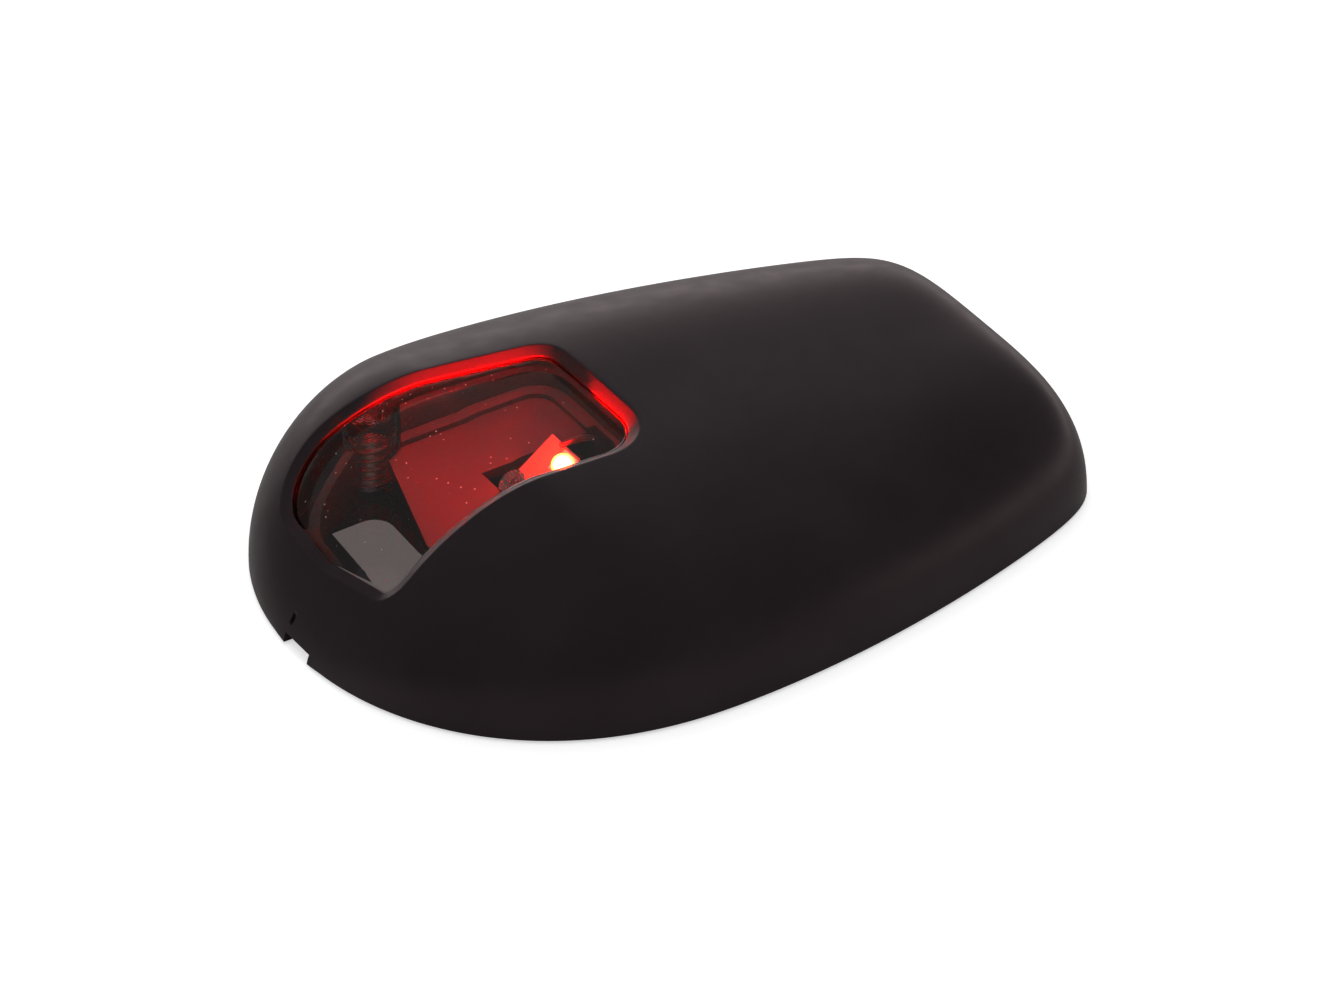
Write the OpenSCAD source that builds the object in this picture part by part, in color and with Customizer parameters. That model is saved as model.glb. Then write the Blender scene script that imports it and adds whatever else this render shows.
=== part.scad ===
// LED side light for a small boat, port hand.
// A black clip-on cover over a sealed clear module on a flat hull plate.
// X runs forward to the round nose, Z away from the hull, Y across the hull.
// The origin is the middle of the mounting face.

/* [Cover] */
// Length from the squared-off tail to the nose
body_l = 90; // [84:1:100]
// Greatest width across the hull
body_w = 68.6; // [66:0.2:74]
// Height of the crown line at the middle of the length
crown_h = 16.1; // [16:0.1:18]
// Rise of the crown line towards the nose, per mm of length
crown_rise = 0.09; // [0.08:0.01:0.1]
// Wall of the cover
cover_wall = 2; // [1.8:0.1:2.2]
// Width of the bevel around the window
window_bevel = 1.3; // [0.8:0.1:1.6]
// Width of the pry notch at the nose
notch_w = 5; // [4:0.5:8]
// Height of the pry notch
notch_h = 1.2; // [1:0.1:1.6]

/* [Hull fixing] */
// Distance between the two hull screws
hull_screw_pitch = 49; // [47:0.5:50]
// Place of the hull screws along the length
hull_screw_x = -18; // [-19:0.5:-16]
// Radius of a hull screw hole
hull_hole_r = 1.9; // [1.7:0.1:2.1]
// Radius of the countersink of a hull screw hole
hull_sink_r = 3.5; // [3:0.1:3.6]
// Radius of the cable passage in the grommet
cable_r = 2.2; // [1.8:0.1:2.4]

/* [Light source] */
// Place of the light source along the length
led_x = 12.7; // [12.2:0.1:13]
// Place of the light source across the width
led_y = 2.4; // [1.6:0.2:2.6]
// Height of the light source above the hull
led_z = 12.5; // [12.2:0.1:12.6]
// Forward tilt of the light source, half of its sector
led_tilt = 34; // [30:1:36]

/* [Hidden] */
$fn = 40;

eps = 0.01;
nose_x = body_l / 2;
tail_x = -body_l / 2;
wide_x = 8.7;          // where the plan is widest
crown_x = 18;          // where the crown starts to fall to the nose
tail_taper = 0.33;     // share of the width lost towards the tail
side_power = 3.45;     // how square the cross-section's shoulders are
roof_power = 2.45;     // how flat its crown is

gasket_t = 0.8;
plate_t = 1.6;
module_z = gasket_t + plate_t;
module_t = 1.2;
seal_t = 0.4;
skirt_z = module_z + module_t + seal_t;
fit_gap = 0.3;         // between the cover and everything it lifts off
lens_drop = 1;         // lens face below the cover's surface
lens_under = 3.4;      // underside of the lens below the cover's surface
skirt_wall = 1.6;
arc_steps = 7;
tray_z = 8.8;
tray_t = 1.2;
tray_wall = 1.3;
boss_r = 3;

screw_r = 1.75;        // thread of the module screws
screw_core_r = 1.3;
screw_pitch = 1.1;
screw_head_r = 2.8;
screw_head_h = 1.4;

board_z = 5.2;
board_t = 1;
board_top = board_z + board_t;
board_x0 = -31;
board_l = 22;
board_w = 22;

led_board_l = 8;
led_board_w = 10;
led_board_t = 1;
led_board_back = -1.8; // upper edge of the board behind the light source
led_lift = 0.9;        // light source above its board
pad_t = 0.3;
bracket_t = 1.5;
bracket_w = 12;

// Corner circles of the window, [x, y, radius], counterclockwise
window_corners = [
    [5.8, -13.2, 2.1], [30.3, -9.24, 8.01], [31.71, -2.65, 7.11],
    [36.12, 6.33, 1.62], [9.79, 0.23, 6.07]
];
// Corner circles of the light chamber, at the foot of its walls
tray_corners = [[7.9, -11, 4.1], [23.5, -7, 8.1], [30.3, -6.3, 5.9], [33, 5.4, 4], [6.2, 7, 2.4]];
// Corner circles of the sealed module
module_corners = [
    [-31.5, -15.5, 4], [24.2, -20.2, 4.6], [32.5, -10.6, 7.3],
    [36.2, 6.6, 3.8], [29, 14.5, 4.5], [-31.5, 15.5, 4]
];
// Corner circles of the drain opening under the nose
drain_corners = [[26.8, -13, 2.2], [30.4, -13.4, 1.8], [31.2, -1.4, 1.8], [26.9, -1.4, 1.8]];
// Screw places, [x, y, height of the boss top, height of the screw's point]
module_bosses = [
    [24, -18.5, 12.4, 10.4], [29, 14.5, 9.6, 8.8],
    [-30.2, 14.8, 8.6, 7.8], [-30.2, -14.8, 8.6, 7.8]
];
grommet_at = [-3, 9];
vent_at = [-3, -9];
pad_y = 1.4;           // middle of the lead pads on the driver board
lead_gap = 2.2;        // lead to that middle
board_pegs = [[-28.5, -8.5], [-28.5, 8.5], [-11.5, -8.5], [-11.5, 8.5]];
// Places of the pairs of posts that centre the cover
post_xs = [-31, 4];
post_l = 5;
post_t = 1.2;
post_h = 2.4;
post_lean = 1;         // room for the lean of the cover's wall

// ---- Shape of the cover ----

// Fall from 1 at the middle to 0 at an end, for t from 0 to 1
function end_fall(t, a, b) = t <= 0 ? 1 : t >= 1 ? 0 : pow(1 - pow(t, a), 1 / b);

// Half width of the plan at x, for a shell that lies d inside the cover
function half_width(x, d) =
    x > wide_x
    ? (body_w / 2 - d) * end_fall((x - wide_x) / (nose_x - d - wide_x), 2.28, 2.07)
    : let(t = min(1, (wide_x - x) / (wide_x - tail_x - d)))
        (body_w / 2 * (1 - tail_taper * pow(t, 1.9)) - d) * end_fall(t, 20, 7.7);

// Height of the crown line at x
function crown(x, d) =
    (crown_h + crown_rise * x - d)
    * end_fall((x - crown_x) / (nose_x - d - crown_x), 1.77, 1.3)
    * end_fall((crown_x - x) / (crown_x - tail_x - d), 33, 4.85);

// Height of the surface above a point of the plan
function dome_z(x, y, d) =
    let(w = half_width(x, d))
    abs(y) >= w ? 0 : crown(x, d) * pow(1 - pow(abs(y) / w, side_power), 1 / roof_power);

// Half width at height z of the shell that lies d inside the cover
function half_at(x, d, z) =
    let(h = crown(x, d))
    h <= z ? 0 : half_width(x, d) * pow(1 - pow(z / h, roof_power), 1 / side_power);

// Stations along the length, close together at both ends
function stations(d, nose_steps, tail_steps) = concat(
    [for (i = [tail_steps:-1:1])
        wide_x - (wide_x - tail_x - d) * min(sin(90 * i / tail_steps), 0.9993)],
    [for (i = [0:nose_steps])
        wide_x + (nose_x - d - wide_x) * min(sin(90 * i / nose_steps), 0.9997)]
);

// One cross-section arch, from the -Y edge over the crown to the +Y edge
function arch(x, d, steps) =
    let(w = half_width(x, d), h = crown(x, d))
    [for (j = [0:steps])
        let(c = cos(180 * j / steps), s = sin(180 * j / steps))
        [x, -sign(c) * w * pow(abs(c), 2 / side_power), j % steps == 0 ? 0 : h * pow(s, 2 / roof_power)]];

// Solid under the cover's surface moved in by d
module dome(d, nose_steps, tail_steps, steps) {
    xs = stations(d, nose_steps, tail_steps);
    row = steps + 1;
    last = (len(xs) - 1) * row;
    polyhedron(
        points = [for (x = xs) each arch(x, d, steps)],
        faces = concat(
            [for (i = [0:len(xs) - 2], j = [0:steps - 1])
                each [[i * row + j, i * row + j + 1, (i + 1) * row + j + 1],
                    [i * row + j, (i + 1) * row + j + 1, (i + 1) * row + j]]],
            [for (i = [0:len(xs) - 2])
                each [[i * row, (i + 1) * row, (i + 1) * row + steps],
                    [i * row, (i + 1) * row + steps, i * row + steps]]],
            [[for (j = [steps:-1:0]) j]],
            [[for (j = [0:steps]) last + j]]
        )
    );
}

// ---- Outlines from corner circles ----

// Direction of the outside of the side that leaves corner a for corner b
function side_angle(a, b) =
    let(dx = b[0] - a[0], dy = b[1] - a[1])
    atan2(dy, dx) - 90 - asin((b[2] - a[2]) / norm([dx, dy]));

// Points on the arc of one corner circle, grown by g
function corner_arc(corners, i, g) =
    let(
        n = len(corners),
        c = corners[i % n],
        a0 = side_angle(corners[(i + n - 1) % n], c),
        turn = (side_angle(c, corners[(i + 1) % n]) - a0 + 720) % 360
    )
    [for (k = [0:arc_steps])
        let(a = a0 + turn * k / arc_steps)
        [c[0] + (c[2] + g) * cos(a), c[1] + (c[2] + g) * sin(a)]];

// Outline round the corner circles, with its straight sides in a number of steps
function outline(corners, g, side_steps = 1) =
    [for (i = [0:len(corners) - 1])
        let(
            arc = corner_arc(corners, i, g),
            from = arc[arc_steps],
            to = corner_arc(corners, i + 1, g)[0]
        )
        each concat(arc, side_steps < 2 ? [] :
            [for (m = [1:side_steps - 1]) from + (to - from) * m / side_steps])];

// Prism over an outline
module slab(corners, g, z0, h) {
    translate([0, 0, z0])
        linear_extrude(h)
            polygon(outline(corners, g));
}

// Prism over an outline, closed on top by the cover's surface moved in by d
module domed_slab(corners, g, z0, d, rings = 6) {
    edge = outline(corners, g, 7);
    n = len(edge);
    mid = [for (axis = [0:1]) (min([for (p = edge) p[axis]]) + max([for (p = edge) p[axis]])) / 2];
    top = [for (k = [1:rings])
        each [for (p = edge)
            let(q = mid + (p - mid) * k / rings)
            [q[0], q[1], max(dome_z(q[0], q[1], d), z0 + eps)]]];
    foot = [for (p = edge) [p[0], p[1], z0]];
    outer = (rings - 1) * n;
    base = rings * n;
    peak = base + n;
    polyhedron(
        points = concat(top, foot, [[mid[0], mid[1], dome_z(mid[0], mid[1], d)], [mid[0], mid[1], z0]]),
        faces = concat(
            [for (k = [0:rings - 2], i = [0:n - 1])
                let(j = (i + 1) % n)
                each [[k * n + i, (k + 1) * n + j, (k + 1) * n + i],
                    [k * n + i, k * n + j, (k + 1) * n + j]]],
            [for (i = [0:n - 1]) each [[peak, (i + 1) % n, i], [peak + 1, base + i, base + (i + 1) % n]]],
            [for (i = [0:n - 1])
                let(j = (i + 1) % n)
                each [[outer + i, outer + j, base + j], [outer + i, base + j, base + i]]]
        )
    );
}

// Flat plate that fills the foot of the cover, moved in by d
module foot_plate(d, z0, h) {
    xs = [for (x = stations(d, 20, 18)) if (half_at(x, d, z0 + h) > 1) x];
    n = len(xs) - 1;
    translate([0, 0, z0])
        linear_extrude(h)
            polygon(concat(
                [for (x = xs) [x, -half_at(x, d, z0 + h)]],
                [for (i = [n:-1:0]) [xs[i], half_at(xs[i], d, z0 + h)]]
            ));
}

// Upright hole at a point of the plan
module hole(at, r, z0, h) {
    translate([at[0], at[1], z0])
        cylinder(r = r, h = h);
}

module at_hull_screws() {
    for (side = [-1, 1])
        translate([hull_screw_x, side * hull_screw_pitch / 2, 0])
            children();
}

// Move into the tilted frame of the light source, with the top of its board at z = 0
module at_led() {
    translate([led_x, led_y, led_z])
        rotate([0, led_tilt, 0])
            translate([0, 0, -led_lift])
                children();
}

// Box standing on the driver board, placed by its middle
module part_box(x, y, l, w, h, lift = 0) {
    translate([x - l / 2, y - w / 2, board_top + lift])
        cube([l, w, h]);
}

// ---- Plate on the hull ----

// Outer face of a post, inside the cover's wall at both ends of the post
function post_y(x) =
    min(half_width(x - post_l / 2, cover_wall), half_width(x + post_l / 2, cover_wall)) - post_lean;

module base_plate() {
    color([0.1, 0.1, 0.11])
    difference() {
        union() {
            foot_plate(cover_wall + fit_gap, gasket_t, plate_t);
            for (x = post_xs, side = [0, 1])
                mirror([0, side, 0])
                    translate([x - post_l / 2, post_y(x) - post_t, module_z - eps])
                        cube([post_l, post_t, post_h]);
        }
        at_hull_screws() {
            translate([0, 0, gasket_t - eps])
                cylinder(r = hull_hole_r, h = plate_t + 1);
            translate([0, 0, gasket_t + 0.4])
                cylinder(r1 = hull_hole_r, r2 = hull_sink_r, h = plate_t - 0.4 + eps);
        }
        for (b = module_bosses) {
            hole(b, screw_r, gasket_t - eps, plate_t + 1);
            translate([b[0], b[1], gasket_t - eps])
                cylinder(r1 = screw_head_r, r2 = screw_r, h = screw_head_h);
        }
        hole(grommet_at, 4, gasket_t - eps, plate_t + 1);
        hole(vent_at, 2.4, gasket_t - eps, plate_t + 1);
        slab(drain_corners, 0, gasket_t - eps, plate_t + 1);
    }
}

module hull_gasket() {
    color([0.16, 0.16, 0.16])
    difference() {
        foot_plate(cover_wall + fit_gap + 0.3, 0, gasket_t);
        at_hull_screws()
            translate([0, 0, -eps])
                cylinder(r = hull_hole_r + 0.2, h = gasket_t + 1);
        hole(grommet_at, 4.2, -eps, gasket_t + 1);
        hole(vent_at, 2.6, -eps, gasket_t + 1);
        slab(drain_corners, 0.3, -eps, gasket_t + 1);
    }
}

// Rubber gland that closes on the supply cable
module wire_grommet() {
    flange = 0.9;
    color([0.08, 0.08, 0.08])
    translate([grommet_at[0], grommet_at[1], 0])
        rotate_extrude()
            polygon([
                [cable_r, gasket_t], [3.9, gasket_t], [3.9, module_z], [2.87, module_z],
                [2.87, module_z + module_t], [3.9, module_z + module_t],
                [3.6, module_z + module_t + flange], [3, 7.2], [cable_r, 7.2]
            ]);
}

// ---- Sealed module ----

module module_base() {
    color([0.85, 0.88, 0.9, 0.4])
    difference() {
        union() {
            slab(module_corners, 0, module_z, module_t);
            for (p = board_pegs)
                hole(p, 2, module_z + eps, board_z - module_z - eps);
            for (side = [-1, 1]) {
                // heat-staked pegs of the light-source bracket
                hole([6, led_y + side * 3.6], 1.2, module_z + eps, 3.2);
                // ribs that locate the skirt of the lens
                translate([-24, side * 17 - 0.5, module_z + eps])
                    cube([24, 1, 3]);
            }
        }
        for (p = board_pegs)
            hole(p, 0.85, module_z + module_t, 5);
        for (b = module_bosses)
            hole(b, screw_r + 0.05, module_z - eps, module_t + 1);
        hole(grommet_at, 2.9, module_z - eps, module_t + 1);
        hole(vent_at, 1.6, module_z - eps, module_t + 1);
    }
}

// Membrane plug that lets the module breathe
module breather_vent() {
    color([0.9, 0.9, 0.88])
    translate([vent_at[0], vent_at[1], module_z])
        rotate_extrude()
            polygon([
                [0, 0.3], [0.7, 0.3], [0.7, 0], [1.6, 0], [1.6, module_t], [2.3, module_t],
                [2.1, module_t + 0.6], [0, module_t + 0.6]
            ]);
}

module lens_seal() {
    z0 = module_z + module_t;
    color([0.75, 0.76, 0.75])
    difference() {
        slab(module_corners, -0.2, z0, seal_t);
        slab(module_corners, -1.4, z0 - eps, seal_t + 1);
    }
}

module lens() {
    color([0.9, 0.93, 0.95, 0.3])
    difference() {
        union() {
            difference() {
                union() {
                    domed_slab(module_corners, 0, skirt_z, cover_wall + fit_gap + 0.1, 7);
                    domed_slab(window_corners, -0.2, skirt_z + 0.01, lens_drop, 6);
                }
                domed_slab(module_corners, -skirt_wall, skirt_z - 0.5, lens_under, 7);
            }
            for (b = module_bosses)
                hole(b, boss_r, skirt_z, b[2] - skirt_z);
        }
        for (b = module_bosses)
            hole(b, screw_r, skirt_z - 1, b[3] - skirt_z + 1.2);
    }
}

// Countersunk thread-forming screws that close the module from below
module module_screws() {
    for (b = module_bosses)
        translate([b[0], b[1], gasket_t])
            color([0.78, 0.78, 0.76])
                rotate_extrude()
                    screw_profile(b[3] - gasket_t);
}

// Half section of a screw whose point ends at height l
module screw_profile(l) {
    neck = screw_head_h;
    turns = floor((l - neck - 2) / screw_pitch);
    thread = [for (i = [0:turns - 1])
        each [[screw_r - 0.02, neck + 0.4 + screw_pitch * (i + 0.5)],
            [screw_core_r, neck + 0.4 + screw_pitch * (i + 1)]]];
    polygon(concat(
        [[0, 0], [screw_head_r - 0.02, 0], [screw_core_r, neck], [screw_core_r, neck + 0.4]],
        thread,
        [[screw_core_r - 0.3, l - 1], [0, l]]
    ));
}

// Gloss black tray: floor of the light chamber and the walls round it
module light_tray() {
    floor_end = 28.7;
    front = module_bosses[0];
    color([0.12, 0.12, 0.13])
    difference() {
        domed_slab(tray_corners, tray_wall, skirt_z + 0.2, lens_under + 0.5, 6);
        // chamber above the floor, with a low step along the walls
        slab(tray_corners, 0, tray_z + tray_t + 0.6, 20);
        slab(tray_corners, -1.6, tray_z + tray_t, 20);
        // space under the floor
        slab(tray_corners, 0, 0, tray_z);
        // the floor ends short of the nose
        intersection() {
            slab(tray_corners, 0, tray_z - 1, 3.2);
            translate([floor_end, 0, tray_z - 1])
                rotate([0, 0, -16])
                    translate([0, -25, 0])
                        cube([20, 50, 3.2]);
        }
        // opening for the light source
        translate([4.4, led_y - bracket_w / 2 - 0.6, tray_z - 1])
            cube([13.9, bracket_w + 1.2, 8]);
        // gap in the wall round the front screw boss
        hull() {
            hole(front, boss_r + 0.3, 0, 30);
            hole([front[0] + 1.6, front[1] + 3], boss_r + 0.3, 0, 30);
        }
        // slot for the leads
        translate([1.5, led_y - 3.9, 0])
            cube([3.3, 7.4, 8.6]);
    }
}

// ---- Light source ----

module heat_sink() {
    foot_z = module_z + module_t;
    leg_x = 15.3;
    foot_x = 4.4;
    color([0.75, 0.76, 0.78])
    difference() {
        union() {
            at_led()
                translate([led_board_back, -bracket_w / 2, -led_board_t - pad_t - bracket_t])
                    cube([8.8, bracket_w, bracket_t]);
            translate([leg_x, led_y - bracket_w / 2, foot_z])
                cube([bracket_t, bracket_w, 3.4]);
            translate([foot_x, led_y - bracket_w / 2, foot_z])
                cube([leg_x - foot_x + bracket_t, bracket_w, 1.4]);
        }
        for (side = [-1, 1]) {
            hole([6, led_y + side * 3.6], 1.25, foot_z - 1, 4);
            at_led()
                translate([4.6, side * 3.4, -4])
                    cylinder(r = 0.8, h = 4);
        }
    }
}

module thermal_pad() {
    color([0.6, 0.66, 0.7])
    at_led()
        difference() {
            translate([led_board_back, -led_board_w / 2, -led_board_t - pad_t])
                cube([led_board_l, led_board_w, pad_t]);
            for (side = [-1, 1])
                translate([4.6, side * 3.4, -3])
                    cylinder(r = 1.1, h = 4);
        }
}

module led_board() {
    color([0.88, 0.88, 0.86])
    at_led()
        difference() {
            translate([led_board_back, -led_board_w / 2, -led_board_t])
                cube([led_board_l, led_board_w, led_board_t]);
            for (side = [-1, 1])
                translate([4.6, side * 3.4, -3])
                    cylinder(r = 0.95, h = 4);
        }
}

module led_package() {
    color([0.95, 0.95, 0.92])
    at_led()
        translate([-1.5, -1.5, 0])
            cube([3, 3, 0.5]);
}

module led_die() {
    color([1, 0.25, 0.1])
    at_led()
        translate([-0.5, -0.5, 0.5])
            cube([1, 1, 0.2]);
}

// Silicone dome over the die
module led_dome() {
    dome_r = 1.3;
    color([1, 0.85, 0.8, 0.4])
    at_led()
        difference() {
            translate([0, 0, 0.5])
                sphere(r = dome_r);
            translate([-2, -2, 0.5 - 3])
                cube([4, 4, 3]);
            translate([-0.5, -0.5, 0.4])
                cube([1, 1, 0.3]);
        }
}

module led_board_screws() {
    color([0.8, 0.8, 0.78])
    at_led()
        for (side = [-1, 1])
            translate([4.6, side * 3.4, 0]) {
                translate([0, 0, -3.2])
                    cylinder(r = 0.78, h = 3.3);
                difference() {
                    cylinder(r = 1.5, h = 1);
                    translate([-2, -0.2, 0.6])
                        cube([4, 0.4, 1]);
                }
            }
}

// ---- Driver ----

module driver_board() {
    color([0.1, 0.35, 0.2])
    difference() {
        translate([board_x0, -board_w / 2, board_z])
            cube([board_l, board_w, board_t]);
        for (p = board_pegs)
            hole(p, 1.1, board_z - 1, 3);
    }
}

module driver_board_screws() {
    color([0.8, 0.8, 0.78])
    for (p = board_pegs)
        translate([p[0], p[1], board_top]) {
            translate([0, 0, -2.4])
                cylinder(r = 0.83, h = 2.5);
            difference() {
                cylinder(r = 1.7, h = 1.1);
                translate([-2, -0.2, 0.7])
                    cube([4, 0.4, 1]);
            }
        }
}

// Shielded choke with rounded can
module driver_inductor() {
    color([0.25, 0.25, 0.27])
    union() {
        part_box(-24, 3.4, 6, 6, 1);
        translate([-24, 3.4, board_top + 1])
            cylinder(r = 2.9, h = 1.8);
    }
}

module driver_capacitors() {
    color([0.8, 0.8, 0.82])
    for (y = [-3.4, 1.6])
        translate([-13.4, y, board_top]) {
            translate([-2, -2, 0])
                cube([4, 4, 0.6]);
            cylinder(r = 1.9, h = 3);
        }
}

// Eight-leg controller
module driver_chip() {
    color([0.12, 0.12, 0.12])
    union() {
        part_box(-23.5, -4.2, 4.8, 3.8, 1.3, 0.2);
        for (i = [0:3], side = [-1, 1])
            part_box(-25.4 + i * 1.27, -4.2 + side * 2.3, 0.4, 1.2, 0.6);
    }
}

module input_diode() {
    color([0.15, 0.15, 0.16])
    part_box(-18.4, -7.2, 4.4, 2.6, 2);
}

module input_fuse() {
    color([0.85, 0.8, 0.7])
    part_box(-18.4, 8, 3.2, 1.6, 1);
}

// Ceramic capacitors and resistors
module chip_components() {
    color([0.62, 0.5, 0.36])
    for (i = [0:3], j = [0:1])
        part_box(-19 + 1.9 * j, -3.6 + 2.6 * i, 1.2, 2, 0.8);
}

// Tinned pads with solder for the supply wires and the two leads
module solder_pads() {
    color([0.8, 0.8, 0.82])
    union() {
        for (side = [-1, 1])
            translate([-10.2, pad_y + side * lead_gap, board_top])
                cylinder(r1 = 0.9, r2 = 0.6, h = 0.3);
        for (y = [6, -5.8])
            translate([-10.4, y, board_top])
                cylinder(r1 = 1, r2 = 0.5, h = 0.6);
    }
}

// Point on a cubic curve through four control points
function curve(p, t) =
    pow(1 - t, 3) * p[0] + 3 * t * pow(1 - t, 2) * p[1] + 3 * t * t * (1 - t) * p[2] + pow(t, 3) * p[3];

// Insulated lead from the driver board over the back edge of the light-source board
module lead(side) {
    r = 0.35;
    sides = 8;
    steps = 18;
    route = [[-10, board_top + 0.68], [16, 5.6], [0, 13.3], [led_x - 1.3, led_z + 0.6]];
    rings = [for (i = [0:steps])
        let(
            t = i / steps,
            at = curve(route, t),
            y = pad_y + (led_y - pad_y) * t + side * lead_gap,
            way = curve(route, t + 0.01) - curve(route, t - 0.01),
            up = [-way[1], way[0]] / norm(way)
        )
        for (k = [0:sides - 1])
            let(a = 360 * k / sides)
            [at[0] + r * sin(a) * up[0], y + r * cos(a), at[1] + r * sin(a) * up[1]]];
    polyhedron(
        points = rings,
        faces = concat(
            [for (i = [0:steps - 1], k = [0:sides - 1])
                let(a = i * sides + k, b = i * sides + (k + 1) % sides)
                each [[a, b, b + sides], [a, b + sides, a + sides]]],
            [[for (k = [sides - 1:-1:0]) k]],
            [[for (k = [0:sides - 1]) steps * sides + k]]
        )
    );
}

module lead_positive() {
    color([0.75, 0.08, 0.06])
        lead(1);
}

module lead_negative() {
    color([0.05, 0.05, 0.05])
        lead(-1);
}

// ---- Cover ----

// Cutter for the bevel round the window, which leans inwards all the way round
module bevel_cutter() {
    run = 0.3;     // stretch of the bevel beyond its edge on the surface
    slope = 0.6;
    inner = outline(window_corners, -run, 7);
    rim = outline(window_corners, window_bevel + run, 7);
    n = len(rim);
    low = [for (p = inner) [p[0], p[1], dome_z(p[0], p[1], 0) - (window_bevel + run) * slope]];
    high = [for (p = rim) [p[0], p[1], dome_z(p[0], p[1], 0) + run * slope]];
    lid = [for (p = rim) [p[0], p[1], 30]];
    mid = [15, -2];
    polyhedron(
        points = concat(low, high, lid, [[mid[0], mid[1], 5], [mid[0], mid[1], 30]]),
        faces = [for (i = [0:n - 1])
            let(j = (i + 1) % n)
            each [
                [3 * n, i, j],
                [i, n + i, n + j], [i, n + j, j],
                [n + i, 2 * n + i, 2 * n + j], [n + i, 2 * n + j, n + j],
                [3 * n + 1, 2 * n + j, 2 * n + i]
            ]]
    );
}

module cover() {
    slot_w = 0.6;
    slot_h = 2;
    color([0.09, 0.09, 0.1])
    difference() {
        dome(0, 16, 18, 30);
        translate([0, 0, -eps])
            dome(cover_wall, 13, 16, 26);
        slab(window_corners, 0, 3, 30);
        bevel_cutter();
        // pry notch in the foot of the nose
        translate([nose_x - 6, -notch_w / 2, -1])
            cube([8, notch_w, 1 + notch_h]);
        // slot that marks the place to lift
        translate([nose_x - 1.6, -notch_w / 2, notch_h + 1])
            cube([3, slot_w, slot_h]);
    }
}

base_plate();
hull_gasket();
wire_grommet();
module_base();
breather_vent();
lens_seal();
lens();
module_screws();
light_tray();
heat_sink();
thermal_pad();
led_board();
led_package();
led_die();
led_dome();
led_board_screws();
driver_board();
driver_board_screws();
driver_inductor();
driver_capacitors();
driver_chip();
input_diode();
input_fuse();
chip_components();
solder_pads();
lead_positive();
lead_negative();
cover();
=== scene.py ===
import logging
import math
from dataclasses import dataclass
from enum import Enum
from functools import partial
from typing import Callable, Iterable, Sequence

import bmesh
import bpy
import numpy as np
from mathutils import Matrix, Vector
from mathutils.geometry import delaunay_2d_cdt


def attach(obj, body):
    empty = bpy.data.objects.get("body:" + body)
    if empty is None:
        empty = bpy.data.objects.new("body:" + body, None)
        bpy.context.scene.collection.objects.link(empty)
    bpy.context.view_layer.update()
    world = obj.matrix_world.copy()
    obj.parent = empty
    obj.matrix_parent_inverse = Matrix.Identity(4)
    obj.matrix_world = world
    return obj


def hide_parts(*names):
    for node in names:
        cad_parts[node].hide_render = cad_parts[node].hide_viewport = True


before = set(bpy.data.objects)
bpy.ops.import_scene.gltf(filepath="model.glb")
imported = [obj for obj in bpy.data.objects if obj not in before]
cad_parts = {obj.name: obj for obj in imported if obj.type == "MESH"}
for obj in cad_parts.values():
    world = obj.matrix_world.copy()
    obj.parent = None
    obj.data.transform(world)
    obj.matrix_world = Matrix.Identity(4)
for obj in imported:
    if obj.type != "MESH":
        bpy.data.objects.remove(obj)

LOG = logging.getLogger("side_light")
MM = 0.001
TINY = 1e-7  # metres below which two points are one
NODE_TINY = 2e-6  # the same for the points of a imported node
NODE_FLAT = 1.0  # angle, in degrees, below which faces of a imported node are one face
SPECK = 1e-6  # millimetres that stand for nothing where a sum needs more than nought
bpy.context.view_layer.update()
CRISP = 38.0  # angle between faces, in degrees, above which an edge stays crisp
NODE_CRISP = 35.0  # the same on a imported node, where such an edge is then eased
EASED_CRISP = 60.0  # the same on a piece whose edges are eased
THREAD_CRISP = 50.0  # the same on a thin round piece
NOISE = {1: 0.3, 2: 0.7}  # inputs of a map range whose values take in nearly all of a noise texture

Rows = list[np.ndarray]
Span = tuple[float, float]
Triple = tuple[float, float, float]
Inputs = dict[str | int, object]
Node = bpy.types.Node
Socket = bpy.types.NodeSocket
Object = bpy.types.Object


class Body(Enum):
    """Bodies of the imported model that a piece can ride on."""

    HOUSING = "housing"
    COVER = "snap_cover"


# ---------------------------------------------------------------- node helpers


def linear(code: str, alpha: float = 1.0) -> tuple[float, float, float, float]:
    """Turns an sRGB hex colour into linear values.

    Args:
        code: six hex digits, with or without a leading '#'.
        alpha: fourth value of the result.

    Returns:
        Linear red, green, blue and alpha.
    """
    digits = code.lstrip("#")
    out = []
    for start in (0, 2, 4):
        value = int(digits[start : start + 2], 16) / 255
        out.append(value / 12.92 if value <= 0.04045 else ((value + 0.055) / 1.055) ** 2.4)
    return (out[0], out[1], out[2], alpha)


def add_node(tree: bpy.types.NodeTree, kind: str, inputs: Inputs | None = None, **settings: object) -> Node:
    """Adds a node with its settings, values and links.

    Args:
        tree: node tree that gets the node.
        kind: Blender's name of the node's type, without the leading 'ShaderNode'.
        inputs: input name or number, to its value, to the socket that feeds it, or to the node whose first
            output feeds it.
        settings: properties of the node itself.

    Returns:
        The new node.
    """
    made = tree.nodes.new("ShaderNode" + kind)
    for name, value in settings.items():
        setattr(made, name, value)
    for name, value in (inputs or {}).items():
        source = value.outputs[0] if isinstance(value, Node) else value
        if isinstance(source, Socket):
            tree.links.new(source, made.inputs[name])
        else:
            made.inputs[name].default_value = source
    return made


def empty_tree(owner: bpy.types.Material | bpy.types.World) -> bpy.types.NodeTree:
    """Gives a material or a world a node tree with nothing in it.

    Args:
        owner: material or world.

    Returns:
        Its node tree, emptied.
    """
    owner.use_nodes = True
    owner.node_tree.nodes.clear()
    return owner.node_tree


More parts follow.
